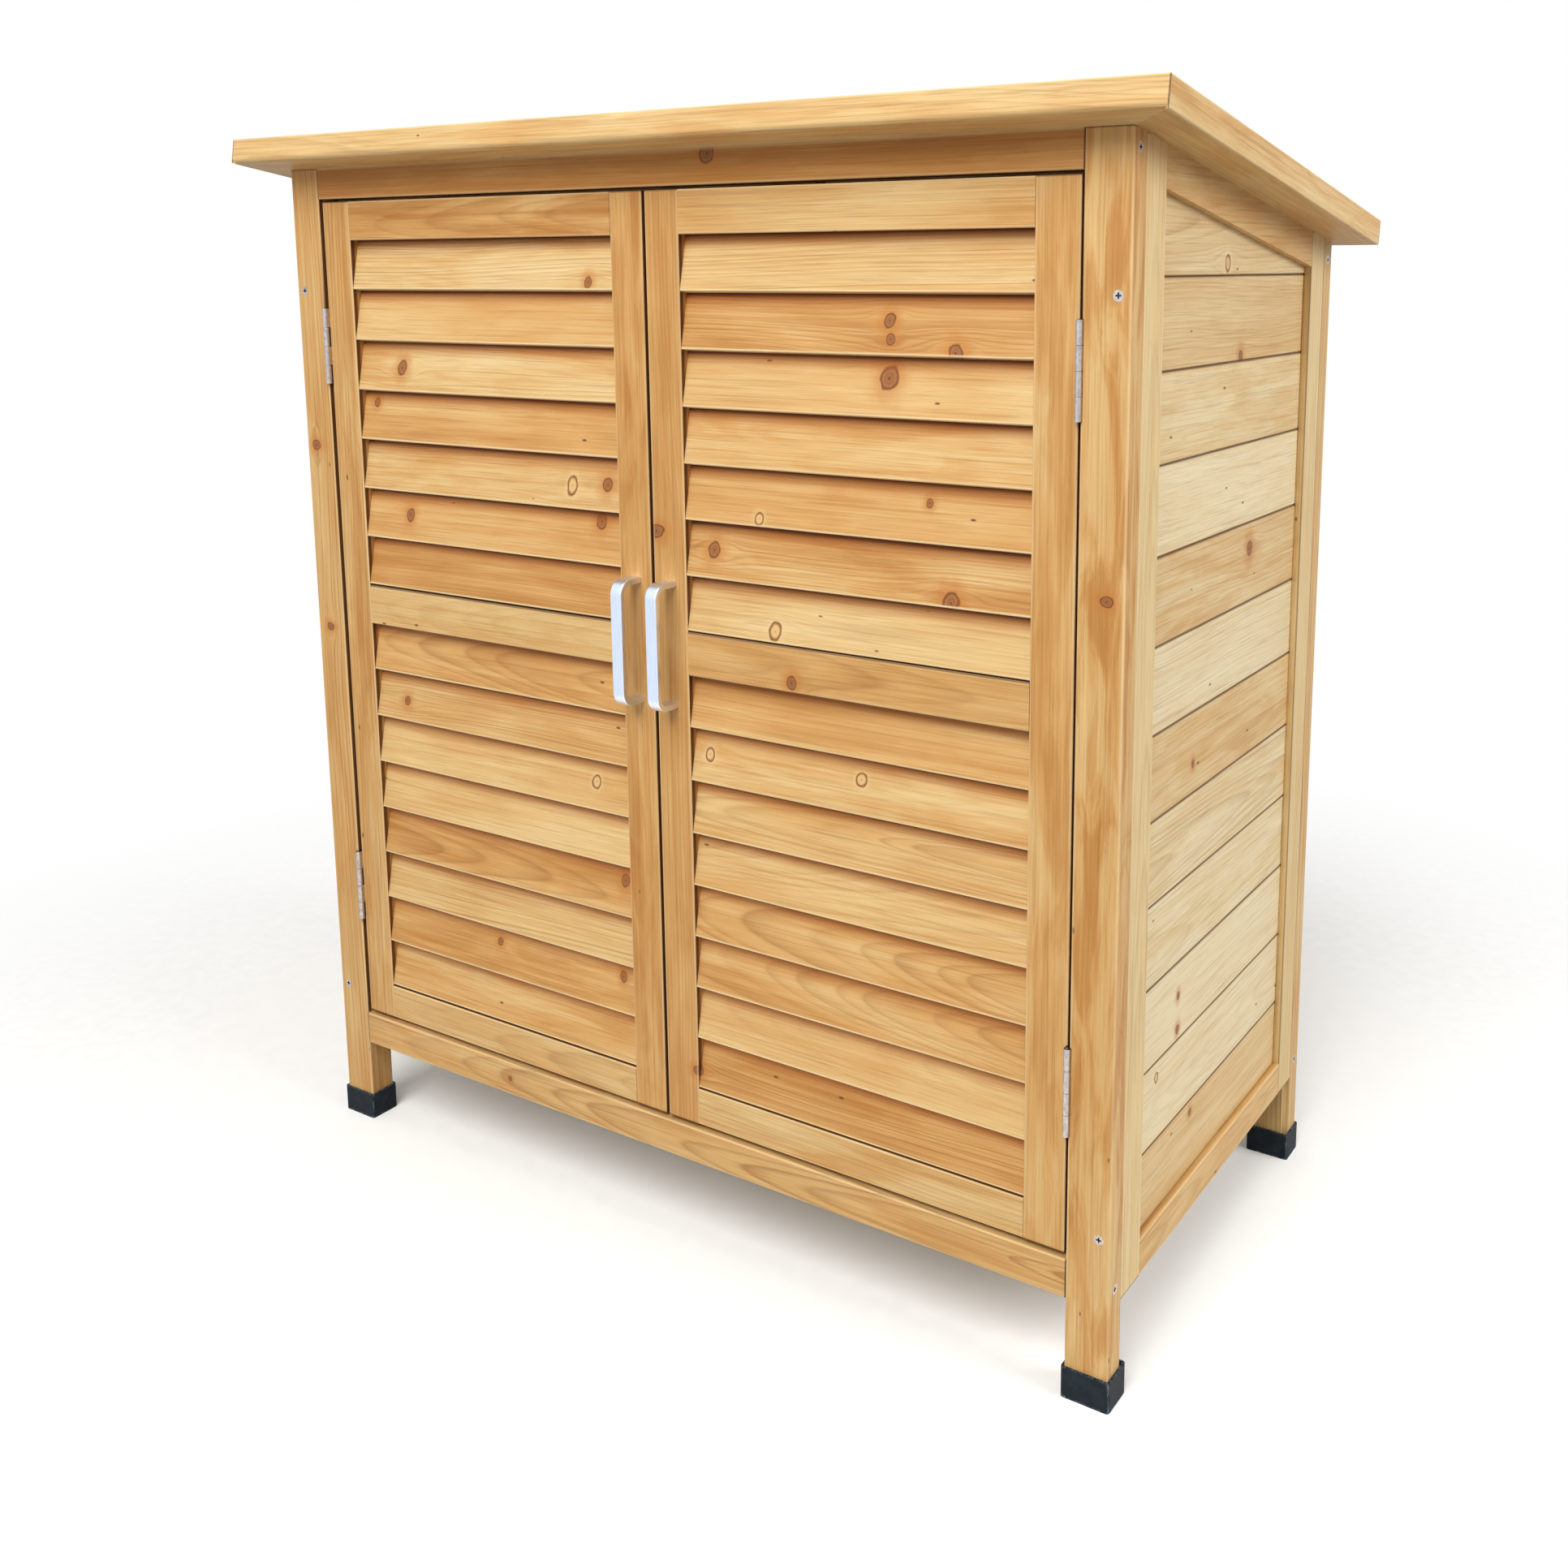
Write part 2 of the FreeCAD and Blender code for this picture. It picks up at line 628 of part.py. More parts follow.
shelf_bottom = shelf_height - shelf_thickness
shelf_y = (front_rail_back + shelf_setback, rear_leg_front - fit_clearance)
shelf_pitch = (shelf_y[1] - shelf_y[0] + shelf_board_gap) / shelf_board_count
shelf_starts = [shelf_y[0] + index * shelf_pitch for index in range(shelf_board_count)]
keep("shelf_boards", *[member(-floor_edge, floor_edge, start, start + shelf_pitch - shelf_board_gap,
                              shelf_bottom, shelf_height, "x") for start in shelf_starts])
keep("shelf_cleats", *both_sides([member(cleat_offset - cleat_width / 2, cleat_offset + cleat_width / 2, *shelf_y,
                                         shelf_bottom - cleat_thickness, shelf_bottom, "y")]))
keep("shelf_bearers", *both_sides([member(frame_inner - shelf_bearer_width, frame_inner,
                                          front_leg_back + fit_clearance, rear_leg_front - fit_clearance,
                                          shelf_bottom - bearer_size, shelf_bottom, "y")]))

stop_bottom = opening_top - door_stop_drop
keep("door_stop", member(-between_legs, between_legs, front_rail_back, front_rail_back + door_stop_depth,
                         stop_bottom, opening_top + door_stop_lap, "x"))
keep("door_catches", *both_sides([member(catch_offset - catch_width / 2, catch_offset + catch_width / 2,
                                         front_rail_back, front_rail_back + catch_depth,
                                         stop_bottom - catch_height, stop_bottom, "x", fine_arris)]))

# Doors, built on the right and mirrored

rails_height = door_top_rail_height + door_mid_rail_height + door_bottom_rail_height
louvre_room = door_top - door_bottom - rails_height
louvre_count = round(louvre_room / louvre_spacing)
lower_louvres = (louvre_count + 1) // 2
upper_louvres = louvre_count - lower_louvres
louvre_pitch = louvre_room / louvre_count
mid_rail_bottom = door_bottom + door_bottom_rail_height + lower_louvres * louvre_pitch
louvre_depth = door_thickness - louvre_front_setback - louvre_back_setback
louvre_tilt = asin(louvre_depth / hypot(louvre_height, louvre_thickness)) - atan2(louvre_thickness, louvre_height)
louvre_rise = louvre_height * cos(louvre_tilt)
louvre_seat = louvre_thickness * sin(louvre_tilt) + louvre_clearance
rebate_height = louvre_seat + louvre_rise - louvre_pitch + louvre_clearance

stile_edges = (door_inner + meeting_stile_width, door_outer - hinge_stile_width)


def louvre(height, x0, x1, grow=0.0):
    """Slat with its lower front edge at height, leaning back into the door; grow makes its housing."""
    up = Vector(sin(louvre_tilt), cos(louvre_tilt), 0)
    back = Vector(cos(louvre_tilt), -sin(louvre_tilt), 0)
    start = Vector(door_face + louvre_front_setback, height, 0) - up * grow - back * grow
    long_side = up * (louvre_height + 2 * grow)
    short_side = back * (louvre_thickness + 2 * grow)
    corners = [start, start + short_side, start + short_side + long_side, start + long_side]
    face = outline([(p.x, p.y) for p in corners], [arris + grow, fine_arris + grow, fine_arris + grow, arris + grow],
                   lambda p: Vector(x0, p.x, p.y))
    return face.extrude(x_axis * (x1 - x0))


louvre_heights = [door_bottom + door_bottom_rail_height + louvre_seat + index * louvre_pitch
                  for index in range(lower_louvres)]
louvre_heights += [mid_rail_bottom + door_mid_rail_height + louvre_seat + index * louvre_pitch
                   for index in range(upper_louvres)]
slat_x = (stile_edges[0] - louvre_housing + louvre_clearance, stile_edges[1] + louvre_housing - louvre_clearance)
louvres = [louvre(height, *slat_x) for height in louvre_heights]
housings = [louvre(height, stile_edges[0] - louvre_housing, stile_edges[1] + louvre_housing, louvre_clearance)
            for height in louvre_heights]

tenon_y = (door_face + (door_thickness - tenon_thickness) / 2, door_face + (door_thickness + tenon_thickness) / 2)
mortises = []


def door_rail(bottom, height, rebated):
    """Rail of the door with a tenon at each end; the stiles' mortises are noted as it is made."""
    rail = member(*stile_edges, door_face, door_back, bottom, bottom + height, "x")
    low, high = bottom + tenon_shoulder, bottom + height - tenon_shoulder
    tenon = box(stile_edges[0] - tenon_length, stile_edges[1] + tenon_length, *tenon_y, low, high)
    mortises.append(box(stile_edges[0] - tenon_length - tenon_clearance, stile_edges[1] + tenon_length + tenon_clearance,
                        tenon_y[0] - tenon_clearance, tenon_y[1] + tenon_clearance,
                        low - tenon_clearance, high + tenon_clearance))
    rail = rail.fuse(tenon).removeSplitter()
    if rebated:
        rail = rail.cut(box(*stile_edges, door_face + rail_rebate_front, door_back, bottom, bottom + rebate_height))
    return rail


strike_x = (catch_offset - catch_width / 2 + strike_margin, catch_offset + catch_width / 2 - strike_margin)
strike_z = (stop_bottom - catch_height + strike_margin, stop_bottom - strike_margin)
strike_plate = box(*strike_x, door_back - strike_thickness, door_back, *strike_z)
strike_pocket = box(strike_x[0] - screw_clearance, strike_x[1] + screw_clearance, door_back - strike_thickness,
                    door_back, strike_z[0] - screw_clearance, strike_z[1] + screw_clearance)
strike_screws = [(Vector((strike_x[0] + strike_x[1]) / 2, door_back, (strike_z[0] + strike_z[1]) / 2),
                  y_axis, hinge_screw)]

handle_x = door_inner + meeting_stile_width / 2
handle_z = (handle_height - handle_length / 2, handle_height + handle_length / 2)
handle_screws = [(Vector(handle_x, door_back, height), y_axis, handle_screw)
                 for height in (handle_z[0] + handle_thickness / 2, handle_z[1] - handle_thickness / 2)]


def handle():
    """Bow handle bent from flat bar, with its feet on the door."""
    front = door_face - handle_projection
    bar = handle_thickness
    points = [(door_face, handle_z[0]), (front, handle_z[0]), (front, handle_z[1]), (door_face, handle_z[1]),
              (door_face, handle_z[1] - bar), (front + bar, handle_z[1] - bar), (front + bar, handle_z[0] + bar),
              (door_face, handle_z[0] + bar)]
    inner = handle_radius - bar
    radii = [0, handle_radius, handle_radius, 0, 0, inner, inner, 0]
    face = outline(points, radii, lambda p: Vector(handle_x - handle_width / 2, p.x, p.y))
    bow = face.extrude(x_axis * handle_width)
    edges = [edge for edge in bow.Edges if edge.BoundBox.YMin < door_face - handle_arris
             and edge.BoundBox.XLength < handle_arris]
    return bow.makeFillet(handle_arris, edges).cut(holes(handle_screws))


door_top_rail = door_rail(door_top - door_top_rail_height, door_top_rail_height, True)
door_mid_rail = door_rail(mid_rail_bottom, door_mid_rail_height, True)
door_bottom_rail = door_rail(door_bottom, door_bottom_rail_height, False)
hinge_stile = member(stile_edges[1], door_outer, door_face, door_back, door_bottom, door_top, "z")
meeting_stile = member(door_inner, stile_edges[0], door_face, door_back, door_bottom, door_top, "z")

keep_pair("{}_door_hinge_stile", hinge_stile.cut(mortises + housings + door_pockets + holes(door_hinge_screws)))
keep_pair("{}_door_meeting_stile", meeting_stile.cut(mortises + housings + holes(handle_screws)))
keep_pair("{}_door_top_rail", door_top_rail.cut([strike_pocket] + holes(strike_screws)))
keep_pair("{}_door_mid_rail", door_mid_rail)
keep_pair("{}_door_bottom_rail", door_bottom_rail)
keep_pair("{}_door_louvres", *louvres)
keep_pair("{}_door_handle", handle())
keep_pair("{}_door_strike_plate", strike_plate.cut(holes(strike_screws)))
keep_pair("{}_door_hinge_leaves", *[leaf(centre, -1, 1) for centre in hinge_centres])
keep_pair("{}_door_screws", *driven(door_hinge_screws + handle_screws + strike_screws))

# Hinges on the legs, and the screws

keep("leg_hinge_leaves", *both_sides([leaf(centre, 1, 0) for centre in hinge_centres]))
keep("leg_hinge_screws", *both_sides(driven(leg_hinge_screws)))
keep("hinge_pins", *both_sides(hinge_pins))
cabinet_screws = both_sides(driven(post_screws + rail_screws))
cabinet_screws += [tilted(solid) for solid in both_sides(driven(roof_screws))]
keep("cabinet_screws", *cabinet_screws)

# One file for each sub-part

os.makedirs("parts", exist_ok=True)
for name, solids in sorted(pieces.items()):
    shape = solids[0] if len(solids) == 1 else Part.Compound(solids)
    shape.exportStep("parts/" + name + ".step")
    print(name, len(shape.Solids), "solids,", round(shape.Volume / 1000, 2), "cm3")
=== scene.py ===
import json
import math
import random

import bmesh
import bpy
from mathutils import Matrix, Vector


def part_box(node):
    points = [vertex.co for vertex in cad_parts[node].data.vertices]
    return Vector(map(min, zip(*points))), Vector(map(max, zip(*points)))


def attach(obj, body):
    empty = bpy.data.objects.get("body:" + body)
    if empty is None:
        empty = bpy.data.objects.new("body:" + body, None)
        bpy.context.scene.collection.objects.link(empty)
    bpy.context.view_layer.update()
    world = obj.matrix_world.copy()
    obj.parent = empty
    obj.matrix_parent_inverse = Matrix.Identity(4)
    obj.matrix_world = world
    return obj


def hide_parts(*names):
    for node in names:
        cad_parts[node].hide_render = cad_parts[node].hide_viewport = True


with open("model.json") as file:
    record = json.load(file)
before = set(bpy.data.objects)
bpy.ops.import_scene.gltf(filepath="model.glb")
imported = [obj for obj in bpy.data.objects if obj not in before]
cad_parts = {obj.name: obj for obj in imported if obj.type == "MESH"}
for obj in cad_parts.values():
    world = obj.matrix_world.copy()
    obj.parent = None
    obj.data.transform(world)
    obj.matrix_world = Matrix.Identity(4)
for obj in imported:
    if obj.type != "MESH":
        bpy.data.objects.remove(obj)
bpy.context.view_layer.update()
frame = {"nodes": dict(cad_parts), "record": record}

# Garden storage cabinet: stained fir with louvred doors, satin aluminium handles, zinc-plated hinges,
# rubber foot caps and a felt-covered roof.
mm = 0.001
touching = 0.001 * mm    # points this near are one
cadNodes = frame["nodes"]
bodyOf = {node: body for body, members in frame["record"]["behaviour"]["bodies"].items() for node in members}
slotOf = {part["node"]: part["material_slot"] for part in frame["record"]["subparts"]}
scene = bpy.context.scene
scene.view_settings.view_transform = "Standard"

# how the louvres and the roof lean in the frame, in degrees, and the roof frame's size and place, in mm
lean = {"louvre": 11.465, "roof": 9.2614}
roofPlane = {"front": -232.5, "height": 895.274, "width": 870, "length": 467.717, "thickness": 21}


# shader helpers

def toLinear(hexCode):
    levels = [int(hexCode[i:i + 2], 16) / 255 for i in (0, 2, 4)]
    return tuple(c / 12.92 if c < 0.04045 else ((c + 0.055) / 1.055) ** 2.4 for c in levels) + (1.0,)


def perMetre(*sizes):
    # how often a pattern repeats in a metre, from its size in mm: one scale, or a stretch along three axes
    scales = tuple(1000 / size for size in sizes)
    return scales if len(scales) > 1 else scales[0]


def addNode(tree, kind, settings=None, sockets=(), stops=None):
    # sockets go by name or by position, and take a value, a hex colour, a node (its first output) or a
    # (node, output) pair; stops are a ramp's places with a hex colour or a grey level each
    node = tree.nodes.new("ShaderNode" + kind)
    for name, value in (settings or {}).items():
        setattr(node, name, value)
    for name, value in sockets.items() if isinstance(sockets, dict) else enumerate(sockets):
        if isinstance(value, bpy.types.Node):
            value = (value, 0)
        if isinstance(value, tuple) and isinstance(value[0], bpy.types.Node):
            tree.links.new(value[0].outputs[value[1]], node.inputs[name])
        else:
            node.inputs[name].default_value = toLinear(value) if isinstance(value, str) else value
    if stops:
        ramp = node.color_ramp
        while len(ramp.elements) < len(stops):
            ramp.elements.new(0.5)
        for element, (position, colour) in zip(ramp.elements, stops):
            element.position = position
            element.color = toLinear(colour) if isinstance(colour, str) else (colour, colour, colour, 1)
    return node


# settings that many nodes share
plus, minus, times, over, timesPlus, lower, higher, below, floored, fraction, unsigned, length = (
    {"operation": name} for name in ("ADD", "SUBTRACT", "MULTIPLY", "DIVIDE", "MULTIPLY_ADD", "MINIMUM",
                                     "MAXIMUM", "LESS_THAN", "FLOOR", "FRACT", "ABSOLUTE", "LENGTH"))
plusClamped, timesClamped = ({"operation": name, "use_clamp": True} for name in ("ADD", "MULTIPLY"))
smooth = {"interpolation_type": "SMOOTHSTEP"}
unclamped = {"clamp": False}
blend = {"data_type": "RGBA"}
oneAxis = {"noise_dimensions": "1D"}
middling = (0.3, 0.7)    # most of a noise texture's values lie between these


def newMaterial(name):
    material = bpy.data.materials.new(name)
    material.use_nodes = True
    tree = material.node_tree
    tree.nodes.clear()
    return material, tree


def finishMaterial(tree, sockets):
    surface = addNode(tree, "BsdfPrincipled", {}, sockets)
    addNode(tree, "OutputMaterial", {}, [surface])


# stained fir: planed softwood under a thin honey-coloured stain, so pale early wood, darker late wood lines,
# reddish ringed knots, and arrises where the stain has rubbed thin, with a painted highlight on them

firLook = {
    "palest": "E6CC97", "pale": "DFBB80", "honey": "D3A263", "deep": "B87D3C",
    # arris: rubbed stain with a painted highlight; joint: dark joints, also painted shade in seams and gaps
    "lateWood": "935E2A", "knotStain": "BE7531", "arris": "F4DDAE", "joint": "52290D",
    # painted shade on each louvre's top, where the louvre above shades it
    "pooled": "B8631F", "pooledDeep": "6E2E04",
    "knotRings": [(0.0, "4A2712"), (0.12, "74431F"), (0.28, "A1683C"), (0.44, "85502B"), (0.62, "A46B3E"),
                  (0.8, "8C5730"), (0.92, "5E3518"), (1.05, "9A6236")],
    "paleRings": [(0.0, "A5683A"), (0.14, "D8AE78"), (0.55, "DEB980"), (0.74, "C08A50"), (0.9, "532B11"),
                  (1.05, "A87140")],
    "shades": [(0.0, "palest"), (0.32, "pale"), (0.62, "honey"), (1.0, "deep")],
    "ringWidth": 3.5,      # mm between late wood lines
    "ringDrift": 1.6, "driftRate": 0.37,    # years that the spacing drifts by, and swings of it in a year
    "wander": 15,          # mm that the lines wander over a board's length
    # late wood through a year, and its strength from year to year
    "yearProfile": [(0.0, 0.3), (0.1, 0.0), (0.45, 0.06), (0.76, 0.6), (0.92, 1.0), (1.0, 0.3)],
    "yearStrength": (0.25, 1.0),
    "ringShow": 0.52, "fibreShow": 0.24, "dashShow": 0.22,
    "blotch": 0.19, "flame": (-0.14, 0.3), "streak": 0.085, "line": 0.075,    # how far each shifts the shade
    "fibreFrom": (0.5, 0.72), "dashFrom": (0.56, 0.68),    # where in its noise each starts and is full
    "knotRagged": (0.86, 1.14),    # how far its outline wavers
    # where each starts and is full, in knot radii, and how much it shows
    "knotEdge": (1.16, 0.98, 0.92), "brownHalo": (3.2, 0.6, 0.6), "paleHalo": (2.2, 0.9, 0.35),
    # arris: rubbed stain with a painted highlight
    "arrisWidth": (2.2, 0.4), "endWidth": (1.4, 0.2), "gapWidth": (0.5, 0.1),    # mm from an edge: none, full
    "arrisShow": 2.0, "endShow": 0.8,
    # seams: a dark joint colour that is stain and painted shade in the V joints, and a painted shadow line on
    # the mid rails
    "seamWidth": (1.5, 0.5),    # mm that stain reaches from a joint, and is full
    # the next two lines: the painted shade in a door's gap, how far it reaches and its band in gap depths,
    # then how far behind the front face a louvre's painted shade reaches
    "gapDepth": 6,         # mm that it reaches into a door's gap
    "gapProfile": [(0.1, 0.0), (0.2, 1.0), (0.6, 1.0), (1.0, 0.0)], "paintedShadeDepth": 0.4,    # in gap depths
    # the bands of painted shade on each louvre's top, under the louvre above
    "paintedShadeBands": [(20, 8, 0.62, "pooled"), (9.6, 6.8, 0.9, "pooledDeep")],    # mm under a louvre's top, how dark
    "speckSize": (62.5, 25, 25),    # mm of wood for each resin speck
    "speck": "5A3013", "speckRadius": (0.05, 0.028), "speckShow": 0.85,
    "roughness": (0.45, 0.62), "gloss": 0.28,
    "bumpHeight": 0.3,     # mm
    "relief": {"late": 0.5, "line": 0.6, "speck": -0.8},    # of each, where the fibres' is 1
}
boardLook = {**firLook, "dashShow": 0.16, "seamWidth": (1.6, 0.5), "joint": "62360C",
             "palest": "EEDDB6", "pale": "E6CD9C", "honey": "DBB57C", "deep": "BE8748"}

# what a board's vertices tell the fir: their place along, across and through it, its seed, pith line (climb,
# across, under), tone (shade, streaks, rings), finish (flames, painted shade under the louvre above, clouds),
# edges (arris, seam, end: pale arrises with a painted highlight, and painted shade in seams and doors' gaps),
# half size and knots (along, across, radius)
knotFacts = ("knotOne", "knotTwo", "knotThree")
boardFacts = ("grain", "boardSeed", "pith", "tone", "finish", "edges", "halfSize", *knotFacts)

# its outline's proportions along and across, and those of the grain that flows round it
knotLook = {"oval": (1.12, 0.92, 0.0), "flow": (0.4, 1.0, 0.0), "flowReach": 1.3}
noKnot = 99.0    # knot radii, too far to show


def makeKnotGroup(look):
    # one knot: how far it pushes the grain aside, and the distance from its heart in knot radii
    group = bpy.data.node_groups.new("firKnot", "ShaderNodeTree")
    for name, kind in (("Along", "Float"), ("Across", "Float"), ("Ragged", "Float"), ("Knot", "Vector")):
        group.interface.new_socket(name, in_out="INPUT", socket_type="NodeSocket" + kind)
    for name in ("Shift", "Brown", "Pale"):
        group.interface.new_socket(name, in_out="OUTPUT", socket_type="NodeSocketFloat")
    given = group.nodes.new("NodeGroupInput")
    result = group.nodes.new("NodeGroupOutput")
    knot = addNode(group, "SeparateXYZ", {}, [(given, "Knot")])
    radius = addNode(group, "Math", unsigned, [(knot, 2)])
    isPale = addNode(group, "Math", below, [(knot, 2), 0.0])
    isBrown = addNode(group, "Math", minus, [1.0, isPale])
    along = addNode(group, "Math", minus, [(given, "Along"), (knot, 0)])
    across = addNode(group, "Math", minus, [(given, "Across"), (knot, 1)])
    place = addNode(group, "CombineXYZ", {}, [along, across, 0.0])
    oval = addNode(group, "VectorMath", times, [place, look["oval"]])
    distance = addNode(group, "VectorMath", length, [oval])
    distance = addNode(group, "Math", times, [(distance, "Value"), (given, "Ragged")])
    ratio = addNode(group, "Math", over, [distance, radius])
    brown = addNode(group, "Math", timesPlus, [isPale, noKnot, ratio])
    pale = addNode(group, "Math", timesPlus, [isBrown, noKnot, ratio])
    flow = addNode(group, "VectorMath", times, [place, look["flow"]])
    flow = addNode(group, "VectorMath", length, [flow])
    flow = addNode(group, "Math", over, [radius, (flow, "Value")])
    flow = addNode(group, "Math", times, [flow, look["flowReach"]])
    flow = addNode(group, "Math", {"operation": "POWER", "use_clamp": True}, [flow, 2.0])
    shift = addNode(group, "Math", times, [flow, across])
    for name, node in (("Shift", shift), ("Brown", brown), ("Pale", pale)):
        group.links.new(node.outputs[0], result.inputs[name])
    return group


knotGroup = makeKnotGroup(knotLook)

# noise drawn out along the grain: its size in mm along and across, its detail and its distortion
firNoise = {"slow": (385, 111, 1, 0), "blotch": (143, 33.3, 3, 0.4), "flame": (111, 16.67, 4, 1),
            "streak": (417, 7.14, 3, 0), "line": (222, 2.381, 2, 0), "dash": (143, 1.923, 1, 0),
            "fibre": (45.5, 0.909, 2, 0), "lump": (9.09, 9.09, 1, 0)}


def makeFir(name, look):
    material, tree = newMaterial(name)
    read = {key: (addNode(tree, "Attribute", {"attribute_name": key}), "Vector") for key in boardFacts}
    grain, pith, tone, finish, edges, halfSize = (
        addNode(tree, "SeparateXYZ", {}, [read[key]])
        for key in ("grain", "pith", "tone", "finish", "edges", "halfSize"))
    noise = {}
    for key, (long, wide, detail, distortion) in firNoise.items():
        place = addNode(tree, "VectorMath", timesPlus, [read["grain"], perMetre(long, wide, wide),
                                                        read["boardSeed"]])
        noise[key] = addNode(tree, "TexNoise", {}, {"Vector": place, "Scale": 1.0, "Detail": detail,
                                                    "Roughness": 0.55, "Distortion": distortion})

    ragged = addNode(tree, "MapRange", unclamped, [noise["lump"], *middling, *look["knotRagged"]])
    knots = [addNode(tree, "Group", {"node_tree": knotGroup},
                     {"Along": (grain, 0), "Across": (grain, 1), "Ragged": ragged, "Knot": read[key]})
             for key in knotFacts]
    nearest = {}
    for output, settings in (("Shift", plus), ("Brown", lower), ("Pale", lower)):
        pair = addNode(tree, "Math", settings, [(knots[0], output), (knots[1], output)])
        nearest[output] = addNode(tree, "Math", settings, [pair, (knots[2], output)])

    # growth rings: distance from a pith line that lies beside or under the board and climbs slowly along it
    wander = look["wander"] * mm
    wander = addNode(tree, "MapRange", unclamped, [noise["slow"], 0.0, 1.0, -wander, wander])
    across = addNode(tree, "Math", minus, [(grain, 1), nearest["Shift"]])
    across = addNode(tree, "Math", plus, [across, wander])
    across = addNode(tree, "Math", minus, [across, (pith, 1)])
    climb = addNode(tree, "Math", times, [(grain, 0), (pith, 0)])
    depth = addNode(tree, "Math", minus, [(grain, 2), (pith, 2)])
    depth = addNode(tree, "Math", plus, [depth, climb])
    reach = addNode(tree, "CombineXYZ", {}, [0.0, across, depth])
    reach = addNode(tree, "VectorMath", length, [reach])
    years = addNode(tree, "Math", over, [(reach, "Value"), look["ringWidth"] * mm])
    drift = addNode(tree, "TexNoise", oneAxis, {"W": years, "Scale": look["driftRate"], "Detail": 1.0})
    drift = addNode(tree, "MapRange", unclamped, [drift, 0.0, 1.0, -look["ringDrift"], look["ringDrift"]])
    years = addNode(tree, "Math", plus, [years, drift])
    ring = addNode(tree, "Math", fraction, [years])
    year = addNode(tree, "Math", floored, [years])
    strength = addNode(tree, "TexWhiteNoise", oneAxis, {"W": year})
    strength = addNode(tree, "MapRange", unclamped, [strength, 0.0, 1.0, *look["yearStrength"]])
    late = addNode(tree, "ValToRGB", {}, [ring], stops=look["yearProfile"])
    late = addNode(tree, "Math", times, [late, strength])

    # the board's own shade, then clouds, flames, streaks and lines of stain
    shift = {key: addNode(tree, "MapRange", unclamped, [noise[key], *middling, -look[key], look[key]])
             for key in ("blotch", "streak", "line")}
    shift["flame"] = addNode(tree, "MapRange", smooth, [noise["flame"], 0.4, 0.6, *look["flame"]])
    shade = (tone, 0)
    for key, amount in (("blotch", (finish, 2)), ("flame", (finish, 0)), ("streak", (tone, 1))):
        shade = addNode(tree, "Math", timesPlus, [shift[key], amount, shade])
    shade = addNode(tree, "Math", plusClamped, [shade, shift["line"]])
    wood = addNode(tree, "ValToRGB", {}, [shade], stops=[(place, look[key]) for place, key in look["shades"]])

    # what lies over that shade, from the bottom up: how much of it, and its colour
    rings = addNode(tree, "Math", times, [late, (tone, 2)])
    rings = addNode(tree, "Math", times, [rings, look["ringShow"]])
    fibres = addNode(tree, "MapRange", smooth, [noise["fibre"], *look["fibreFrom"], 0.0, look["fibreShow"]])
    dashes = addNode(tree, "MapRange", smooth, [noise["dash"], *look["dashFrom"], 0.0, look["dashShow"]])
    coats = [(rings, "lateWood"), (fibres, "lateWood"), (dashes, "lateWood")]

    # knots, pale ones with a dark outline and brown ones ringed all through
    for key, halo, colour in (("Brown", "brownHalo", "knotStain"), ("Pale", "paleHalo", "palest")):
        start, full, most = look[halo]
        coats.append((addNode(tree, "MapRange", smooth, [nearest[key], start, full, 0.0, most]), colour))
    start, full, most = look["knotEdge"]
    for key, ringColours in (("Pale", "paleRings"), ("Brown", "knotRings")):
        knotWood = addNode(tree, "ValToRGB", {}, [nearest[key]], stops=look[ringColours])
        coats.append((addNode(tree, "MapRange", smooth, [nearest[key], start, full, 0.0, most]), knotWood))

    # resin specks, a few to a board
    speckPlace = addNode(tree, "VectorMath", timesPlus, [read["grain"], perMetre(*look["speckSize"]),
                                                         read["boardSeed"]])
    speck = addNode(tree, "TexVoronoi", {"feature": "F1"}, {"Vector": speckPlace, "Scale": 1.0})
    speck = addNode(tree, "MapRange", smooth, [speck, *look["speckRadius"], 0.0, look["speckShow"]])
    coats.append((speck, "speck"))

    # arrises rubbed pale, with a painted highlight, and dark joints where another board meets this one: stain
    # at the ends, stain and painted shade along the seams, painted shade alone in the doors' gaps; all by the
    # distance from its edges
    size = addNode(tree, "VectorMath", unsigned, [read["grain"]])
    inside = addNode(tree, "VectorMath", minus, [read["halfSize"], size])
    inside = addNode(tree, "SeparateXYZ", {}, [inside])
    fromArris = addNode(tree, "Math", higher, [(inside, 1), (inside, 2)])
    arrisWidth, endWidth, gapWidth, seamWidth = ([width * mm for width in look[key]] for key in
                                                 ("arrisWidth", "endWidth", "gapWidth", "seamWidth"))
    # pale arrises: stain rubbed thin, and a painted highlight
    arris = addNode(tree, "MapRange", smooth, [fromArris, *arrisWidth, 0.0, look["arrisShow"]])
    arris = addNode(tree, "Math", times, [arris, noise["blotch"]])
    arris = addNode(tree, "Math", timesClamped, [arris, (edges, 0)])
    # seam: dark joint colour along the long edges, stain and painted shade in the V joints, a painted shadow
    # line on the mid rails
    seam = addNode(tree, "MapRange", smooth, [fromArris, *seamWidth, 0.0, 1.0])
    seam = addNode(tree, "Math", timesClamped, [seam, (edges, 1)])
    end = addNode(tree, "MapRange", smooth, [(inside, 0), *endWidth, 0.0, look["endShow"]])
    end = addNode(tree, "Math", times, [end, (edges, 2)])
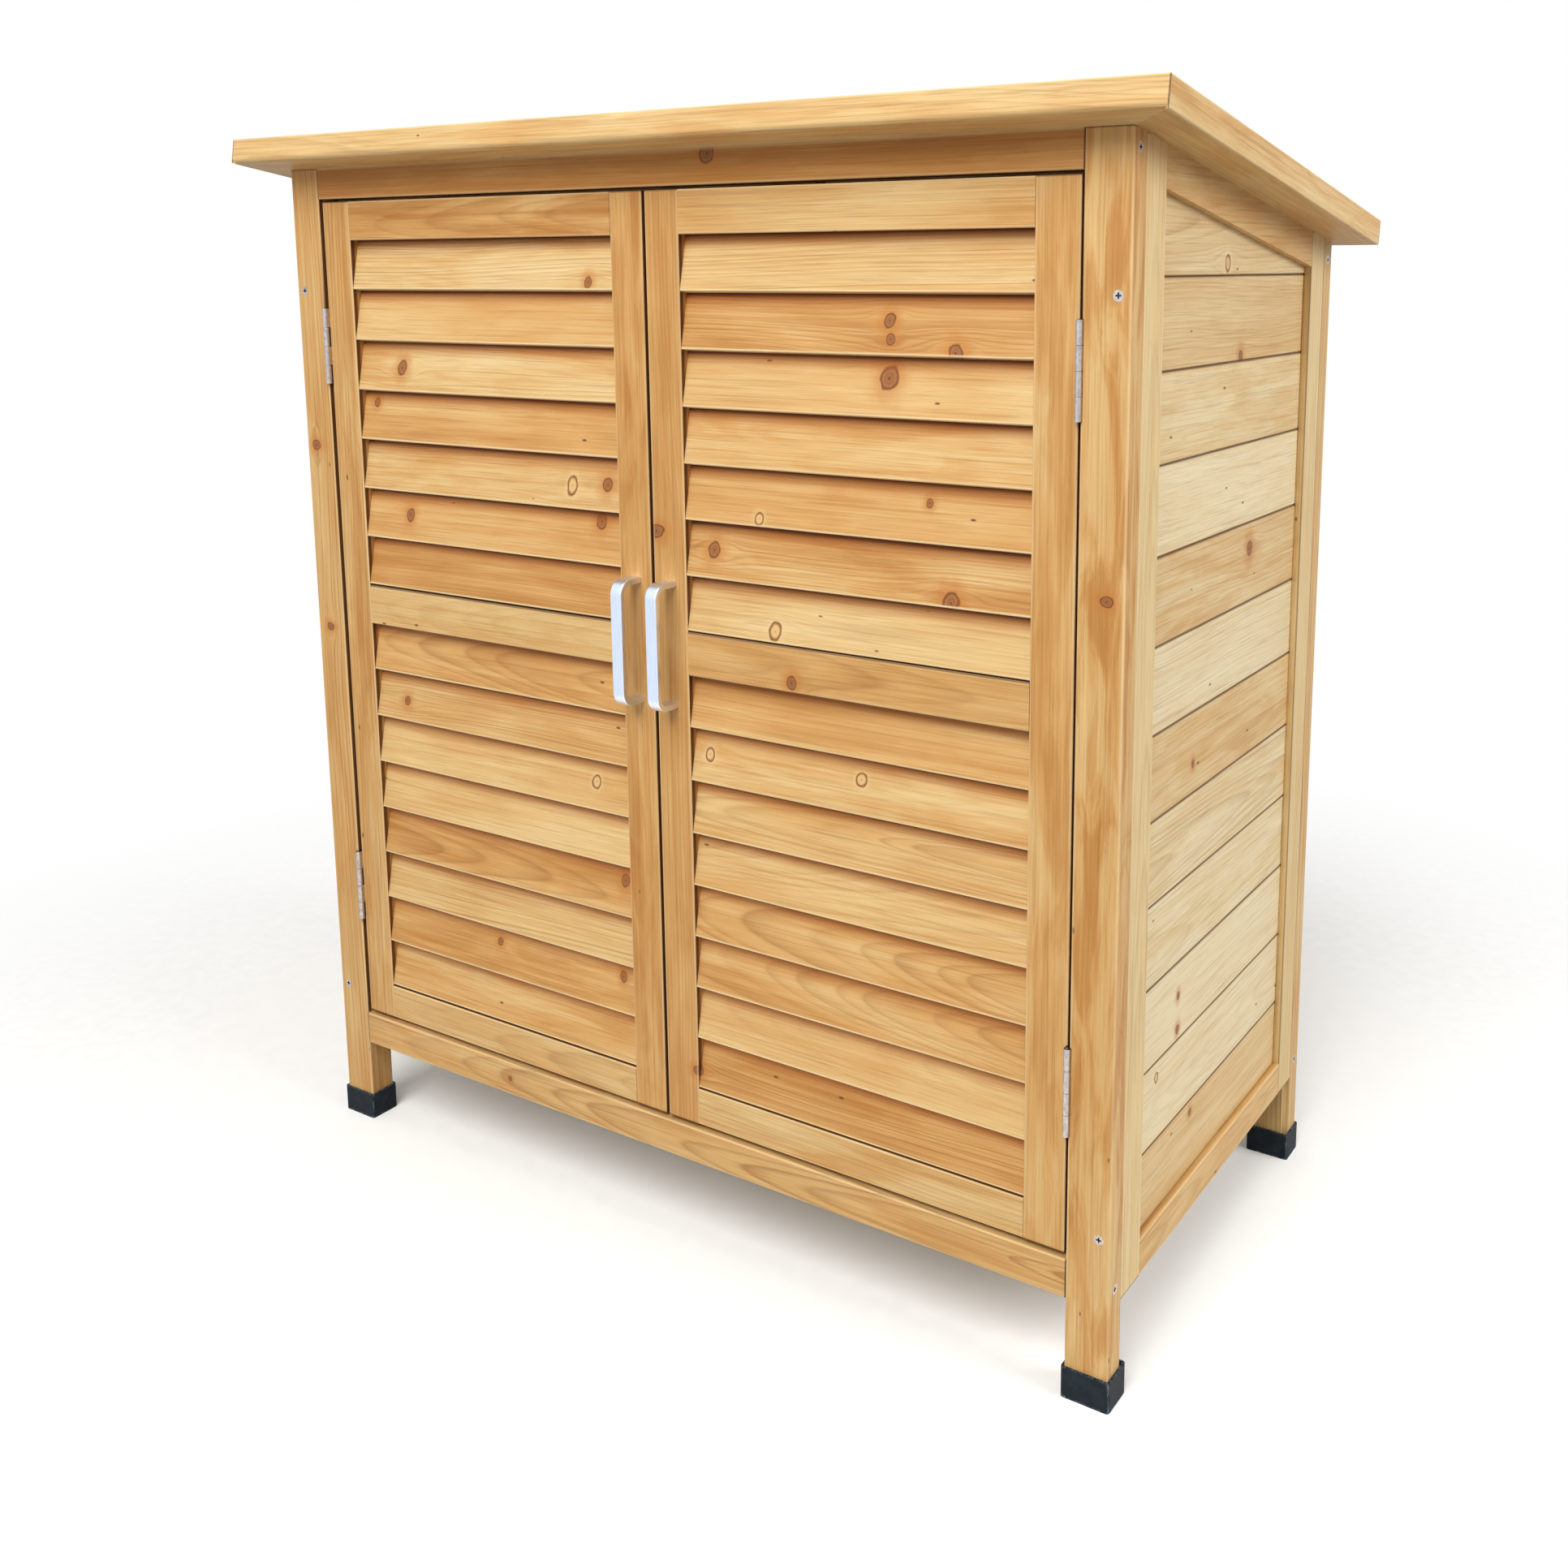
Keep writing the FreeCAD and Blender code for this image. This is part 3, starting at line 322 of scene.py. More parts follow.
    # painted shade on the faces beside a door's gap, in a band just behind the front face, where the gap is
    # dark
    side = addNode(tree, "MapRange", smooth, [(inside, 1), *gapWidth, 0.0, 1.0])
    behindFace = addNode(tree, "Math", plus, [(halfSize, 2), (grain, 2)])
    behindFace = addNode(tree, "Math", over, [behindFace, look["gapDepth"] * mm])
    paintedGapShade = addNode(tree, "ValToRGB", {}, [behindFace], stops=look["gapProfile"])
    side = addNode(tree, "Math", times, [side, paintedGapShade])
    gap = addNode(tree, "Math", unsigned, [(edges, 1)])
    side = addNode(tree, "Math", times, [side, gap])
    joint = addNode(tree, "Math", higher, [seam, end])
    joint = addNode(tree, "Math", higher, [joint, side])
    coats += [(arris, "arris"), (joint, "joint")]
    # painted shade on each louvre's front face, darkest just under the louvre above
    fromTop = addNode(tree, "Math", minus, [(halfSize, 1), (grain, 1)])
    isFront = addNode(tree, "Math", below, [behindFace, look["paintedShadeDepth"]])
    takesPaintedShade = addNode(tree, "Math", times, [isFront, (finish, 1)])
    for start, full, most, colour in look["paintedShadeBands"]:
        pool = addNode(tree, "MapRange", smooth, [fromTop, start * mm, full * mm, 0.0, most])
        coats.append((addNode(tree, "Math", times, [pool, takesPaintedShade]), colour))

    for amount, colour in coats:
        colour = look[colour] if isinstance(colour, str) else colour
        wood = (addNode(tree, "Mix", blend, {0: amount, 6: wood, 7: colour}), 2)

    rough = addNode(tree, "MapRange", unclamped, [noise["fibre"], *middling, *look["roughness"]])
    height = (noise["fibre"], 0)
    for key, bumpy in (("late", late), ("line", noise["line"]), ("speck", speck)):
        height = addNode(tree, "Math", timesPlus, [bumpy, look["relief"][key], height])
    bump = addNode(tree, "Bump", {}, {"Strength": 0.6, "Distance": look["bumpHeight"] * mm, "Height": height})
    finishMaterial(tree, {"Base Color": wood, "Roughness": rough, "Specular IOR Level": look["gloss"],
                          "Normal": bump})
    return material


firMaterials = {"fir_frame": makeFir("honeyStainedFirFrame", firLook),
                "fir_louvre": makeFir("honeyStainedFirLouvre", firLook),
                "fir_board": makeFir("paleStainedFirBoard", boardLook)}
print("fir materials made")


# helpers for the pieces

def copyOf(node):
    bm = bmesh.new()
    bm.from_mesh(cadNodes[node].data)
    bmesh.ops.remove_doubles(bm, verts=bm.verts, dist=touching)
    bmesh.ops.dissolve_limit(bm, angle_limit=math.radians(0.5), verts=bm.verts, edges=bm.edges)
    return bm


def cutThrough(bm, place, normal, clear=False):
    # cuts every face along a plane, and with clear takes away what lies beyond it
    bmesh.ops.bisect_plane(bm, geom=bm.verts[:] + bm.edges[:] + bm.faces[:], dist=touching, plane_co=place,
                           plane_no=normal, clear_outer=clear)


def placeMesh(bm, name, material):
    mesh = bpy.data.meshes.new(name)
    bm.to_mesh(mesh)
    bm.free()
    mesh.materials.append(material)
    piece = bpy.data.objects.new(name, mesh)
    scene.collection.objects.link(piece)
    return piece


def finishPiece(bm, name, node, material, sharp=35):
    # stands for a CAD node, shaded smooth round its arrises and flat on its faces
    piece = placeMesh(bm, name, material)
    for polygon in piece.data.polygons:
        polygon.use_smooth = True
    piece.data.set_sharp_from_angle(angle=math.radians(sharp))
    weighted = piece.modifiers.new("evenFaces", "WEIGHTED_NORMAL")
    weighted.keep_sharp = True
    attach(piece, bodyOf[node])
    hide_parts(node)


def groupsOf(bm):
    # vertices of each separate solid, from the top of the cabinet down
    left = set(bm.verts)
    groups = []
    while left:
        wave = [left.pop()]
        group = []
        while wave:
            vert = wave.pop()
            group.append(vert)
            for edge in vert.link_edges:
                other = edge.other_vert(vert)
                if other in left:
                    left.remove(other)
                    wave.append(other)
        groups.append(group)

    def order(group):
        middle = sum((vert.co for vert in group), Vector()) / len(group)
        return (-round(middle.z, 3), round(middle.x, 3), round(middle.y, 3))
    return sorted(groups, key=order)


# timber

sawnLook = {
    "straight": {"climb": 0.02, "across": (45, 110), "under": 60},    # pith in mm, well beside the board
    "arched": {"climb": (0.03, 0.09), "across": 0.6, "under": (14, 40)},    # under it, across in half widths
    "straightShare": 0.6, "spread": 0.12, "range": 0.7, "apart": 50,    # apart in m, in the noises
    "streaks": (0.6, 1.4), "rings": (0.15, 1.15, 1.5), "flames": (0, 0, 0.4),    # rings: least, more, rarity
    "knotShare": 0.6, "knotPlace": (0.85, 0.7), "knotRadius": (3, 7.5),    # place in half lengths and widths
    "knotKinds": (1, 1, -1), "knotReach": 2,    # brown or pale; mm that one's heart may lie past the board
    "edges": (0.35, 0, 1),
}
farKnot = Vector((9, 9, 0.004))    # in m, off every board
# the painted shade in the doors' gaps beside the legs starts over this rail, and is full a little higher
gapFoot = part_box("front_bottom_rail")[1].z    # the doors' gaps beside the legs start over this rail
gapRise = 1 * mm      # and are full this much higher


def markGrain(bm, name, spec, look=sawnLook):
    # writes each solid's grain, shade and knots to its vertices, where the fir reads them
    layers = {key: bm.verts.layers.float_vector.new(key) for key in boardFacts}
    turn = Matrix.Rotation(math.radians(spec.get("turn", 0)), 3, "X")
    dice = random.Random(name)
    solids = []
    for group in groupsOf(bm):
        turned = [turn @ vert.co for vert in group]
        low = Vector([min(p[i] for p in turned) for i in range(3)])
        high = Vector([max(p[i] for p in turned) for i in range(3)])
        half = (high - low) / 2
        axes = sorted(range(3), key=lambda i: -half[i])
        solids.append({"verts": group, "turned": turned, "middle": (low + high) / 2, "half": half,
                       "axes": axes, "knots": []})
    for x, y, z, radius in spec.get("knots", []):
        point = turn @ Vector((x, y, z)) * mm
        near = []
        for solid in solids:
            off = point - solid["middle"]
            along, across = (off[i] for i in solid["axes"][:2])
            limits = [solid["half"][i] for i in solid["axes"][:2]]
            if abs(along) < limits[0] and abs(across) < limits[1] + look["knotReach"] * mm:
                near.append((solid["middle"].z, len(near), solid, along, across))
        if near:
            solid, along, across = max(near, key=lambda item: item[:2])[2:]
            solid["knots"].append(Vector((along, across, radius * mm)))
    tones = spec.get("tones", [])
    for number, solid in enumerate(solids):
        long, wide, thin = solid["axes"]
        half = solid["half"]
        seed = Vector([dice.uniform(0, look["apart"]) for _ in range(3)])
        if dice.random() < spec.get("straight", look["straightShare"]):
            sawn = look["straight"]
            pith = Vector((dice.uniform(-sawn["climb"], sawn["climb"]),
                           dice.choice((-1, 1)) * dice.uniform(*sawn["across"]) * mm,
                           dice.uniform(-sawn["under"], sawn["under"]) * mm))
        else:
            sawn = look["arched"]
            pith = Vector((dice.choice((-1, 1)) * dice.uniform(*sawn["climb"]),
                           dice.uniform(-sawn["across"], sawn["across"]) * half[wide],
                           dice.choice((-1, 1)) * dice.uniform(*sawn["under"]) * mm))
        shade = tones[number] if number < len(tones) else dice.gauss(spec.get("shade", 0.5), look["spread"])
        shade = 0.5 + (shade - 0.5) * spec.get("range", look["range"])
        calm = spec.get("calm", 1)
        streaks = dice.uniform(*look["streaks"])
        least, more, rarity = look["rings"]
        tone = Vector((shade, streaks * calm, (least + more * dice.random() ** rarity) * calm))
        finish = Vector((spec.get("flame", dice.choice(look["flames"])), spec.get("pool", 0), calm))
        knots = solid["knots"]
        if "knots" not in spec and dice.random() < look["knotShare"]:
            endways, sideways = look["knotPlace"]
            knots.append(Vector((dice.uniform(-endways, endways) * half[long],
                                 dice.uniform(-sideways, sideways) * half[wide],
                                 dice.choice(look["knotKinds"]) * dice.uniform(*look["knotRadius"]) * mm)))
        knots = (knots + [farKnot] * 3)[:3]
        shake = Vector((0, 0, dice.uniform(-1, 1) * spec.get("shake", 0) * mm))
        for vert, place in zip(solid["verts"], solid["turned"]):
            off = place - solid["middle"]
            edges = Vector(spec.get("edges", look["edges"]))
            # faces towards a door's gap get painted shade
            facesGap = abs(vert.co.x) < abs(solid["middle"].x) and vert.co.z > gapFoot + gapRise / 2
            if facesGap and spec.get("gap"):
                edges.y = -spec["gap"]
            facts = ((off[long], off[wide], off[thin]), seed, pith, tone, finish, edges,
                     (half[long], half[wide], half[thin]), *knots)
            for key, fact in zip(boardFacts, facts):
                vert[layers[key]] = fact
            vert.co += shake


def dressTimber(node, spec):
    bm = copyOf(node)
    if spec.get("gap"):
        for height in (gapFoot, gapFoot + gapRise):
            cutThrough(bm, (0, 0, height), (0, 0, 1))
    markGrain(bm, node, spec)
    finishPiece(bm, node + "_fir", node, firMaterials[slotOf[node]])


# tones are shades from 0, pale, to 1, deep; a knot is (x, z, radius) in mm, and a negative radius makes a
# pale one with a dark outline
doorLook = {
    "left": {
        "louvreTones": [0.15, 0.48, 0.4, 0.68, 0.4, 0.6, 0.8, 0.72, 0.62, 0.4, 0.35, 0.75, 0.35, 0.62, 0.45],
        "tones": {"hinge_stile": 0.6, "meeting_stile": 0.85, "top_rail": 0.8, "mid_rail": 0.38,
                  "bottom_rail": 0.4},
        "knots": [(-278, 721, 6), (-315, 690, 4), (-85, 632, -6.5), (-48, 635, 5.5), (-278, 593, 5),
                  (-58, 605, 6), (-59, 793, 4), (-71, 385, -5), (-294, 423, 4), (-44, 304, 5),
                  (-193, 217, 3.5), (-50, 218, 4)]},
    "right": {
        "louvreTones": [0.38, 0.74, 0.35, 0.55, 0.66, 0.64, 0.25, 0.8, 0.5, 0.35, 0.45, 0.6, 0.6, 0.3, 0.85],
        "tones": {"hinge_stile": 0.6, "meeting_stile": 0.75, "top_rail": 0.5, "mid_rail": 0.6,
                  "bottom_rail": 0.42},
        "knots": [(216, 768, 5), (271, 746, 6), (215, 728, 8), (248, 642, 3), (103, 619, -4.5), (58, 592, 6),
                  (268, 573, 7), (116, 535, -6.5), (132, 497, 5), (49, 428, -5), (190, 431, -5), (5, 602, 6),
                  (33, 158, 4), (218, 755, 4)]},
    "face": -197,     # mm, y of the knots
    "shake": 0.35,    # mm that a louvre may sit high or low
    # louvres: pale arrises with a painted highlight on their lower edges; other door timbers: a negative
    # seam, painted shade on their faces in the gaps
    "louvreEdges": (0.9, 0, 0.5), "edges": (0.35, -0.9, 1),
    # on the mid rails the seam paints a shadow line along their top and bottom edges
    "midRailEdges": (0.35, 0.8, 1),    # a positive seam also reaches the front face
}

for side in ("left", "right"):
    look = doorLook[side]
    knots = [(x, doorLook["face"], z, radius) for x, z, radius in look["knots"]]
    # the louvres get painted shade on their tops, under the louvre above
    dressTimber(side + "_door_louvres",
                {"turn": lean["louvre"], "tones": look["louvreTones"], "knots": knots, "pool": 1,
                 "shake": doorLook["shake"], "edges": doorLook["louvreEdges"]})
    for part, shade in look["tones"].items():
        edges = doorLook["midRailEdges" if part == "mid_rail" else "edges"]
        dressTimber(side + "_door_" + part, {"tones": [shade], "knots": knots, "edges": edges})
print("doors dressed")

# a number alone is a shade; a knot here is (x, y, z, radius), and a piece with no list of them gets its own
carcassLook = {
    # gap: painted shade on the leg's face beside a door's gap
    "front_left_leg": {"tones": [0.6], "gap": 0.9, "knots": [(-388, -199, 648, 5), (-384, -199, 481, 4)]},
    "front_right_leg": {"tones": [0.6], "gap": 0.9, "knots": [(387, -199, 587, 4.5)], "straight": 1,
                        "flame": 0.85, "calm": 0.6},
    "rear_left_leg": 0.4, "rear_right_leg": {"tones": [0.35], "knots": []},
    # the deepest tone, partly painted shade where the roof's overhang shades the rail
    "front_top_rail": {"tones": [1.0], "range": 1, "knots": [(64, -199, 886, 7)]},
    "front_bottom_rail": {"tones": [0.5], "knots": [(-180, -199, 92, 2.5)]},
    "left_side_front_stile": 0.35, "left_side_rear_stile": 0.6,
    "left_side_top_rail": 0.55, "left_side_bottom_rail": 0.4,
    "right_side_front_stile": {"tones": [0.05], "range": 1, "knots": [], "calm": 0.7},
    "right_side_rear_stile": {"tones": [0.1], "range": 1, "knots": [], "calm": 0.7, "edges": (0.35, 0.6, 1)},
    "right_side_top_rail": {"tones": [0.5], "knots": []},
    "right_side_bottom_rail": {"tones": [0.42], "knots": []},
    "back_left_stile": 0.5, "back_right_stile": 0.45, "back_top_rail": 0.5, "back_bottom_rail": 0.45,
    "floor_bearers": 0.4, "floor_boards": 0.3,
    "shelf_bearers": 0.4, "shelf_cleats": 0.45, "shelf_boards": 0.3, "door_stop": 0.4,
    "roof_front_member": {"tones": [0.2], "knots": [], "calm": 0.7},
    "roof_rear_member": 0.5, "roof_left_member": 0.4, "roof_right_member": {"tones": [0.3], "knots": []},
    "roof_deck": 0.35,
}
for node, spec in carcassLook.items():
    turn = lean["roof"] if node.startswith("roof") else 0
    dressTimber(node, {"turn": turn, **(spec if isinstance(spec, dict) else {"shade": spec})})
print("carcass dressed")


# tongued boards of the walls, each a plank of its own with a V joint to the next

wallLook = {
    "chamfer": 1.1,     # mm, half of the V
    "joint": 0.15,      # mm open between boards
    "sink": 0.35,       # mm that a board may lie deeper than its neighbours
    "pitch": 63.4,      # mm from board to board in the side walls
    "backCount": 11,    # boards in the back wall
    "sliver": 0.15,     # of a board, that is left to the board under it
    # dark seams: stain and painted shade in the V joints, and no pale arris
    "edges": (0, 0.8, 1), "calm": 0.6,
    "sideStraight": 0.35, "backStraight": 0.5, "shade": 0.3,
    "rightTones": [0.42, 0.5, 0.34, 0.14, 0.5, 0.1, 0.52, 0.22, 0.14, 0.08, 0.1, 0.48],
    "rightKnots": [(394, -13, 805, -6), (394, 21, 735, 5), (394, 55, 585, 6), (394, -53, 439, 3),
                   (394, -69, 262, 3), (394, -69, 235, 3.5), (394, -108, 213, -4), (394, -37, 152, 3)],
}


def boardWall(node, face, pitch, look, spec):
    # face is the outward direction of the wall; the boards lie behind its plane
    low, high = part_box(node)
    dice = random.Random(node + "boards")
    bm = bmesh.new()
    along, depth = (1, 0) if face.x else (0, 1)
    count = round((high.z - low.z) / pitch + 0.5 - look["sliver"])
    for number in range(count):
        bottom = low.z + number * pitch
        top = min(bottom + pitch, high.z) if number < count - 1 else high.z
        made = bmesh.ops.create_cube(bm, size=1)["verts"]
        size = high - low
        size.z = top - bottom - look["joint"] * mm
        middle = (low + high) / 2
        middle.z = (top + bottom) / 2
        bmesh.ops.scale(bm, vec=size, verts=made)
        bmesh.ops.translate(bm, vec=middle, verts=made)
        outer = max if face[depth] > 0 else min
        plane = outer(vert.co[depth] for vert in made)
        edges = {edge for vert in made for edge in vert.link_edges
                 if all(abs(v.co[depth] - plane) < touching for v in edge.verts)
                 and abs(edge.verts[0].co[along] - edge.verts[1].co[along]) > size[along] / 2}
        cut = bmesh.ops.bevel(bm, geom=list(edges), offset=look["chamfer"] * mm, segments=2, profile=0.5,
                              affect="EDGES", material=-1)
        board = {vert for vert in made if vert.is_valid} | set(cut["verts"])
        bmesh.ops.translate(bm, vec=-face * dice.uniform(0, look["sink"]) * mm, verts=list(board))
    if face.x:
        # the side walls' top board follows the roof
        slope = math.radians(lean["roof"])
        cutThrough(bm, (0, low.y, high.z), (0, math.sin(slope), math.cos(slope)), clear=True)
        bmesh.ops.holes_fill(bm, edges=[edge for edge in bm.edges if edge.is_boundary], sides=0)
    bmesh.ops.recalc_face_normals(bm, faces=bm.faces)
    markGrain(bm, node, {"edges": look["edges"], "calm": look["calm"], **spec})
    finishPiece(bm, node + "_fir", node, firMaterials[slotOf[node]])


boardWall("right_side_boards", Vector((1, 0, 0)), wallLook["pitch"] * mm, wallLook,
          {"tones": wallLook["rightTones"], "range": 1, "knots": wallLook["rightKnots"],
           "straight": wallLook["sideStraight"]})
boardWall("left_side_boards", Vector((-1, 0, 0)), wallLook["pitch"] * mm, wallLook,
          {"shade": wallLook["shade"], "straight": wallLook["sideStraight"]})
backLow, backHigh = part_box("back_boards")
boardWall("back_boards", Vector((0, 1, 0)), (backHigh.z - backLow.z) / wallLook["backCount"], wallLook,
          {"shade": wallLook["shade"], "straight": wallLook["backStraight"]})
print("walls boarded")


# metals, rubber, plastic and felt; every pattern's size is in mm

metalLook = {
    # satin anodised aluminium: fine lines along the bow and a soft, slightly blue sheen
    "satinAnodisedAluminium": {"dull": "D8E0F0", "bright": "E9EFFC", "lines": (0.417, 0.417, 16.7),
                               "roughness": (0.42, 0.3), "bump": 0.02, "clouded": 0},
    # bright zinc plate on pressed steel: cloudy, with darker patches where it has dulled
    "zincPlatedSteel": {"dull": "A89F9B", "bright": "C8C0BC", "lines": (2, 2, 3.33),
                        "roughness": (0.45, 0.28), "bump": 0.03, "clouded": 0.3},
    # plain wire of the brads: grey, with darker steel where the hammer has marked it
    "brightNailSteel": {"dull": "A89F9B", "bright": "8A8884", "lines": (1.11, 1.11, 1.11),
                        "roughness": (0.5, 0.35), "bump": 0.02, "clouded": 0.5},
}
metalClouds = 3.85    # mm
# painted shade, a dark grey:
recessShade = "2C2830"      # in knuckle joints and driver recesses


def makeMetal(name, look):
    material, tree = newMaterial(name)
    place = (addNode(tree, "TexCoord"), "Object")
    drawn = addNode(tree, "VectorMath", times, [place, perMetre(*look["lines"])])
    lines = addNode(tree, "TexNoise", {}, {"Vector": drawn, "Scale": 1.0, "Detail": 3.0, "Roughness": 0.6})
    cloud = addNode(tree, "TexNoise", {}, {"Vector": place, "Scale": perMetre(metalClouds), "Detail": 3.0})
    cloud = addNode(tree, "Math", times, [cloud, look["clouded"]])
    both = addNode(tree, "Math", timesPlus, [lines, 1 - look["clouded"], cloud])
    colour = addNode(tree, "ValToRGB", {}, [both], stops=[(0.36, look["dull"]), (0.58, look["bright"])])
    # painted shade in the knuckle joints and driver recesses
    recess = addNode(tree, "Attribute", {"attribute_name": "recess"})
    colour = addNode(tree, "Mix", blend, {0: (recess, "Fac"), 6: colour, 7: recessShade})
    rough = addNode(tree, "MapRange", {}, [both, *middling, *look["roughness"]])
    bump = addNode(tree, "Bump", {}, {"Strength": 0.35, "Distance": look["bump"] * mm, "Height": both})
    finishMaterial(tree, {"Base Color": (colour, 2), "Roughness": rough, "Metallic": 1.0, "Normal": bump})
    return material


satinAluminium, zincPlate, bareSteel = (makeMetal(name, look) for name, look in metalLook.items())

capLook = {"rubber": "0F161D", "worn": "222C34", "scuff": "7E888C", "edge": 0.9, "gloss": 0.16,
           "cloud": 11.1, "scratch": (2, 2, 8.33), "pebble": 0.556, "depth": 0.08,
           "round": 0.7, "longest": 8,     # mm: rounding of an edge, and its length before it is cut up
           "cuts": 7,                      # of each longer one, so that the wear can follow it
           "wearWide": 4, "wearFoot": 6,   # mm that wear reaches from an edge and up from the ground
           "wearMost": (1, 0.9, 0.75)}     # at an upright edge, the foot and the rim


def makeRubber(look):
    # moulded rubber: blue-black and matt, paler where corners have rubbed along the ground
    material, tree = newMaterial("mouldedRubber")
    place = (addNode(tree, "TexCoord"), "Object")
    cloud = addNode(tree, "TexNoise", {}, {"Vector": place, "Scale": perMetre(look["cloud"]), "Detail": 5.0,
                                           "Roughness": 0.65})
    base = addNode(tree, "ValToRGB", {}, [cloud], stops=[(0.38, look["rubber"]), (0.68, look["worn"])])
    drawn = addNode(tree, "VectorMath", times, [place, perMetre(*look["scratch"])])
    scratch = addNode(tree, "TexNoise", {}, {"Vector": drawn, "Scale": 1.0, "Detail": 4.0, "Roughness": 0.7})
    wear = addNode(tree, "Attribute", {"attribute_name": "wear"})
    rubbed = addNode(tree, "Math", times, [(wear, "Fac"), scratch])
    rubbed = addNode(tree, "MapRange", smooth, [rubbed, 0.3, 0.6, 0.0, look["edge"]])
    mixed = addNode(tree, "Mix", blend, {0: rubbed, 6: base, 7: look["scuff"]})
    grain = addNode(tree, "TexNoise", {}, {"Vector": place, "Scale": perMetre(look["pebble"]), "Detail": 2.0})
    bump = addNode(tree, "Bump", {}, {"Strength": 0.4, "Distance": look["depth"] * mm, "Height": grain})
    rough = addNode(tree, "MapRange", {}, [cloud, 0.0, 1.0, 0.45, 0.75])
    finishMaterial(tree, {"Base Color": (mixed, 2), "Roughness": rough, "Specular IOR Level": look["gloss"],
                          "Normal": bump})
    return material


mouldedRubber = makeRubber(capLook)

catchLook = {"body": "5E3D22", "light": "6E4A2B", "roughness": (0.5, 0.7), "gloss": 0.25,
             "cloud": 8.33, "grit": 0.385, "depth": 0.05, "round": 0.4}


def makePlastic(look):
    # moulded plastic: brown all through, faintly flowed, with a fine spark-eroded texture
    material, tree = newMaterial("mouldedCatchPlastic")
    place = (addNode(tree, "TexCoord"), "Object")
    cloud = addNode(tree, "TexNoise", {}, {"Vector": place, "Scale": perMetre(look["cloud"]), "Detail": 3.0})
    colour = addNode(tree, "ValToRGB", {}, [cloud], stops=[(0.35, look["body"]), (0.7, look["light"])])
    grit = addNode(tree, "TexNoise", {}, {"Vector": place, "Scale": perMetre(look["grit"]), "Detail": 2.0})
    bump = addNode(tree, "Bump", {}, {"Strength": 0.3, "Distance": look["depth"] * mm, "Height": grit})
    rough = addNode(tree, "MapRange", unclamped, [grit, *middling, *look["roughness"]])
    finishMaterial(tree, {"Base Color": colour, "Roughness": rough, "Specular IOR Level": look["gloss"],
                          "Normal": bump})
    return material


catchPlastic = makePlastic(catchLook)

feltLook = {"dark": "2B302E", "granule": "4F5854", "pale": "828B84", "granuleSize": 1.1, "relief": 0.5,
            "patch": 71.4, "patchShow": 0.35, "roughness": 0.9}


def makeFelt(look):
    # mineral roofing felt: slate granules pressed into bitumen, dull, with dark bitumen between them
    material, tree = newMaterial("mineralRoofingFelt")
    place = (addNode(tree, "TexCoord"), "Object")
    granules = addNode(tree, "TexVoronoi", {"feature": "F1"},
                       {"Vector": place, "Scale": perMetre(look["granuleSize"])})
    shade = addNode(tree, "SeparateColor", {}, [(granules, "Color")])
    colour = addNode(tree, "ValToRGB", {}, [shade], stops=[(0.0, look["dark"]), (0.3, look["granule"]),
                                                           (0.8, look["granule"]), (1.0, look["pale"])])
    patch = addNode(tree, "TexNoise", {}, {"Vector": place, "Scale": perMetre(look["patch"]), "Detail": 5.0})
    patch = addNode(tree, "MapRange", {}, [patch, 0.4, 0.7, 0.0, look["patchShow"]])
    mixed = addNode(tree, "Mix", blend, {0: patch, 6: colour, 7: look["pale"]})
    bump = addNode(tree, "Bump", {"invert": True}, {"Strength": 0.7, "Distance": look["relief"] * mm,
                                                    "Height": (granules, "Distance")})
    finishMaterial(tree, {"Base Color": (mixed, 2), "Roughness": look["roughness"], "Normal": bump})
    return material


roofingFelt = makeFelt(feltLook)
print("fitting materials made")


# fittings

def softenEdges(bm, width, angle=40):
    # a small round along every crease that is sharper than angle
    edges = [edge for edge in bm.edges if edge.is_manifold and edge.calc_face_angle(0) > math.radians(angle)
             and edge.calc_length() > 3 * width]
    bmesh.ops.bevel(bm, geom=edges, offset=width, segments=2, profile=0.5, affect="EDGES", material=-1,
                    clamp_overlap=True)


# mm of rounding for each, and how much painted shade shows in knuckle joints and driver recesses
metalParts = {"leg_hinge_leaves": 0.3, "left_door_hinge_leaves": 0.3, "right_door_hinge_leaves": 0.3,
              "left_door_strike_plate": 0.2, "right_door_strike_plate": 0.2, "hinge_pins": 0,
              "leg_hinge_screws": 0, "cabinet_screws": 0, "left_door_screws": 0, "right_door_screws": 0}
recessShadeShow = {"knuckle": 0.8, "recessFloor": 0.95, "recessWall": 0.7}

for node, width in metalParts.items():
    bm = copyOf(node)
    recess = bm.faces.layers.float.new("recess")
    if width:
        softenEdges(bm, width * mm)
    if node.endswith("leaves"):
        bm.normal_update()
        for face in bm.faces:
            face[recess] = recessShadeShow["knuckle"] if abs(face.normal.z) > 0.35 else 0
    elif node.endswith("screws"):
        # a recess's floor lies inside concave creases, its walls beside them
        for face in bm.faces:
            hollow = sum(edge.calc_face_angle_signed(0) < -0.1 for edge in face.edges)
            isFloor = hollow > len(face.edges) / 2
            face[recess] = recessShadeShow["recessFloor"] if isFloor else recessShadeShow["recessWall"] if hollow else 0
    finishPiece(bm, node + "_zinc", node, zincPlate)

bm = copyOf("door_catches")
softenEdges(bm, catchLook["round"] * mm)
finishPiece(bm, "door_catches_plastic", "door_catches", catchPlastic)

handleLook = {"width": 11, "thickness": 5, "outerBend": 12, "arris": 1.1, "steps": 10}


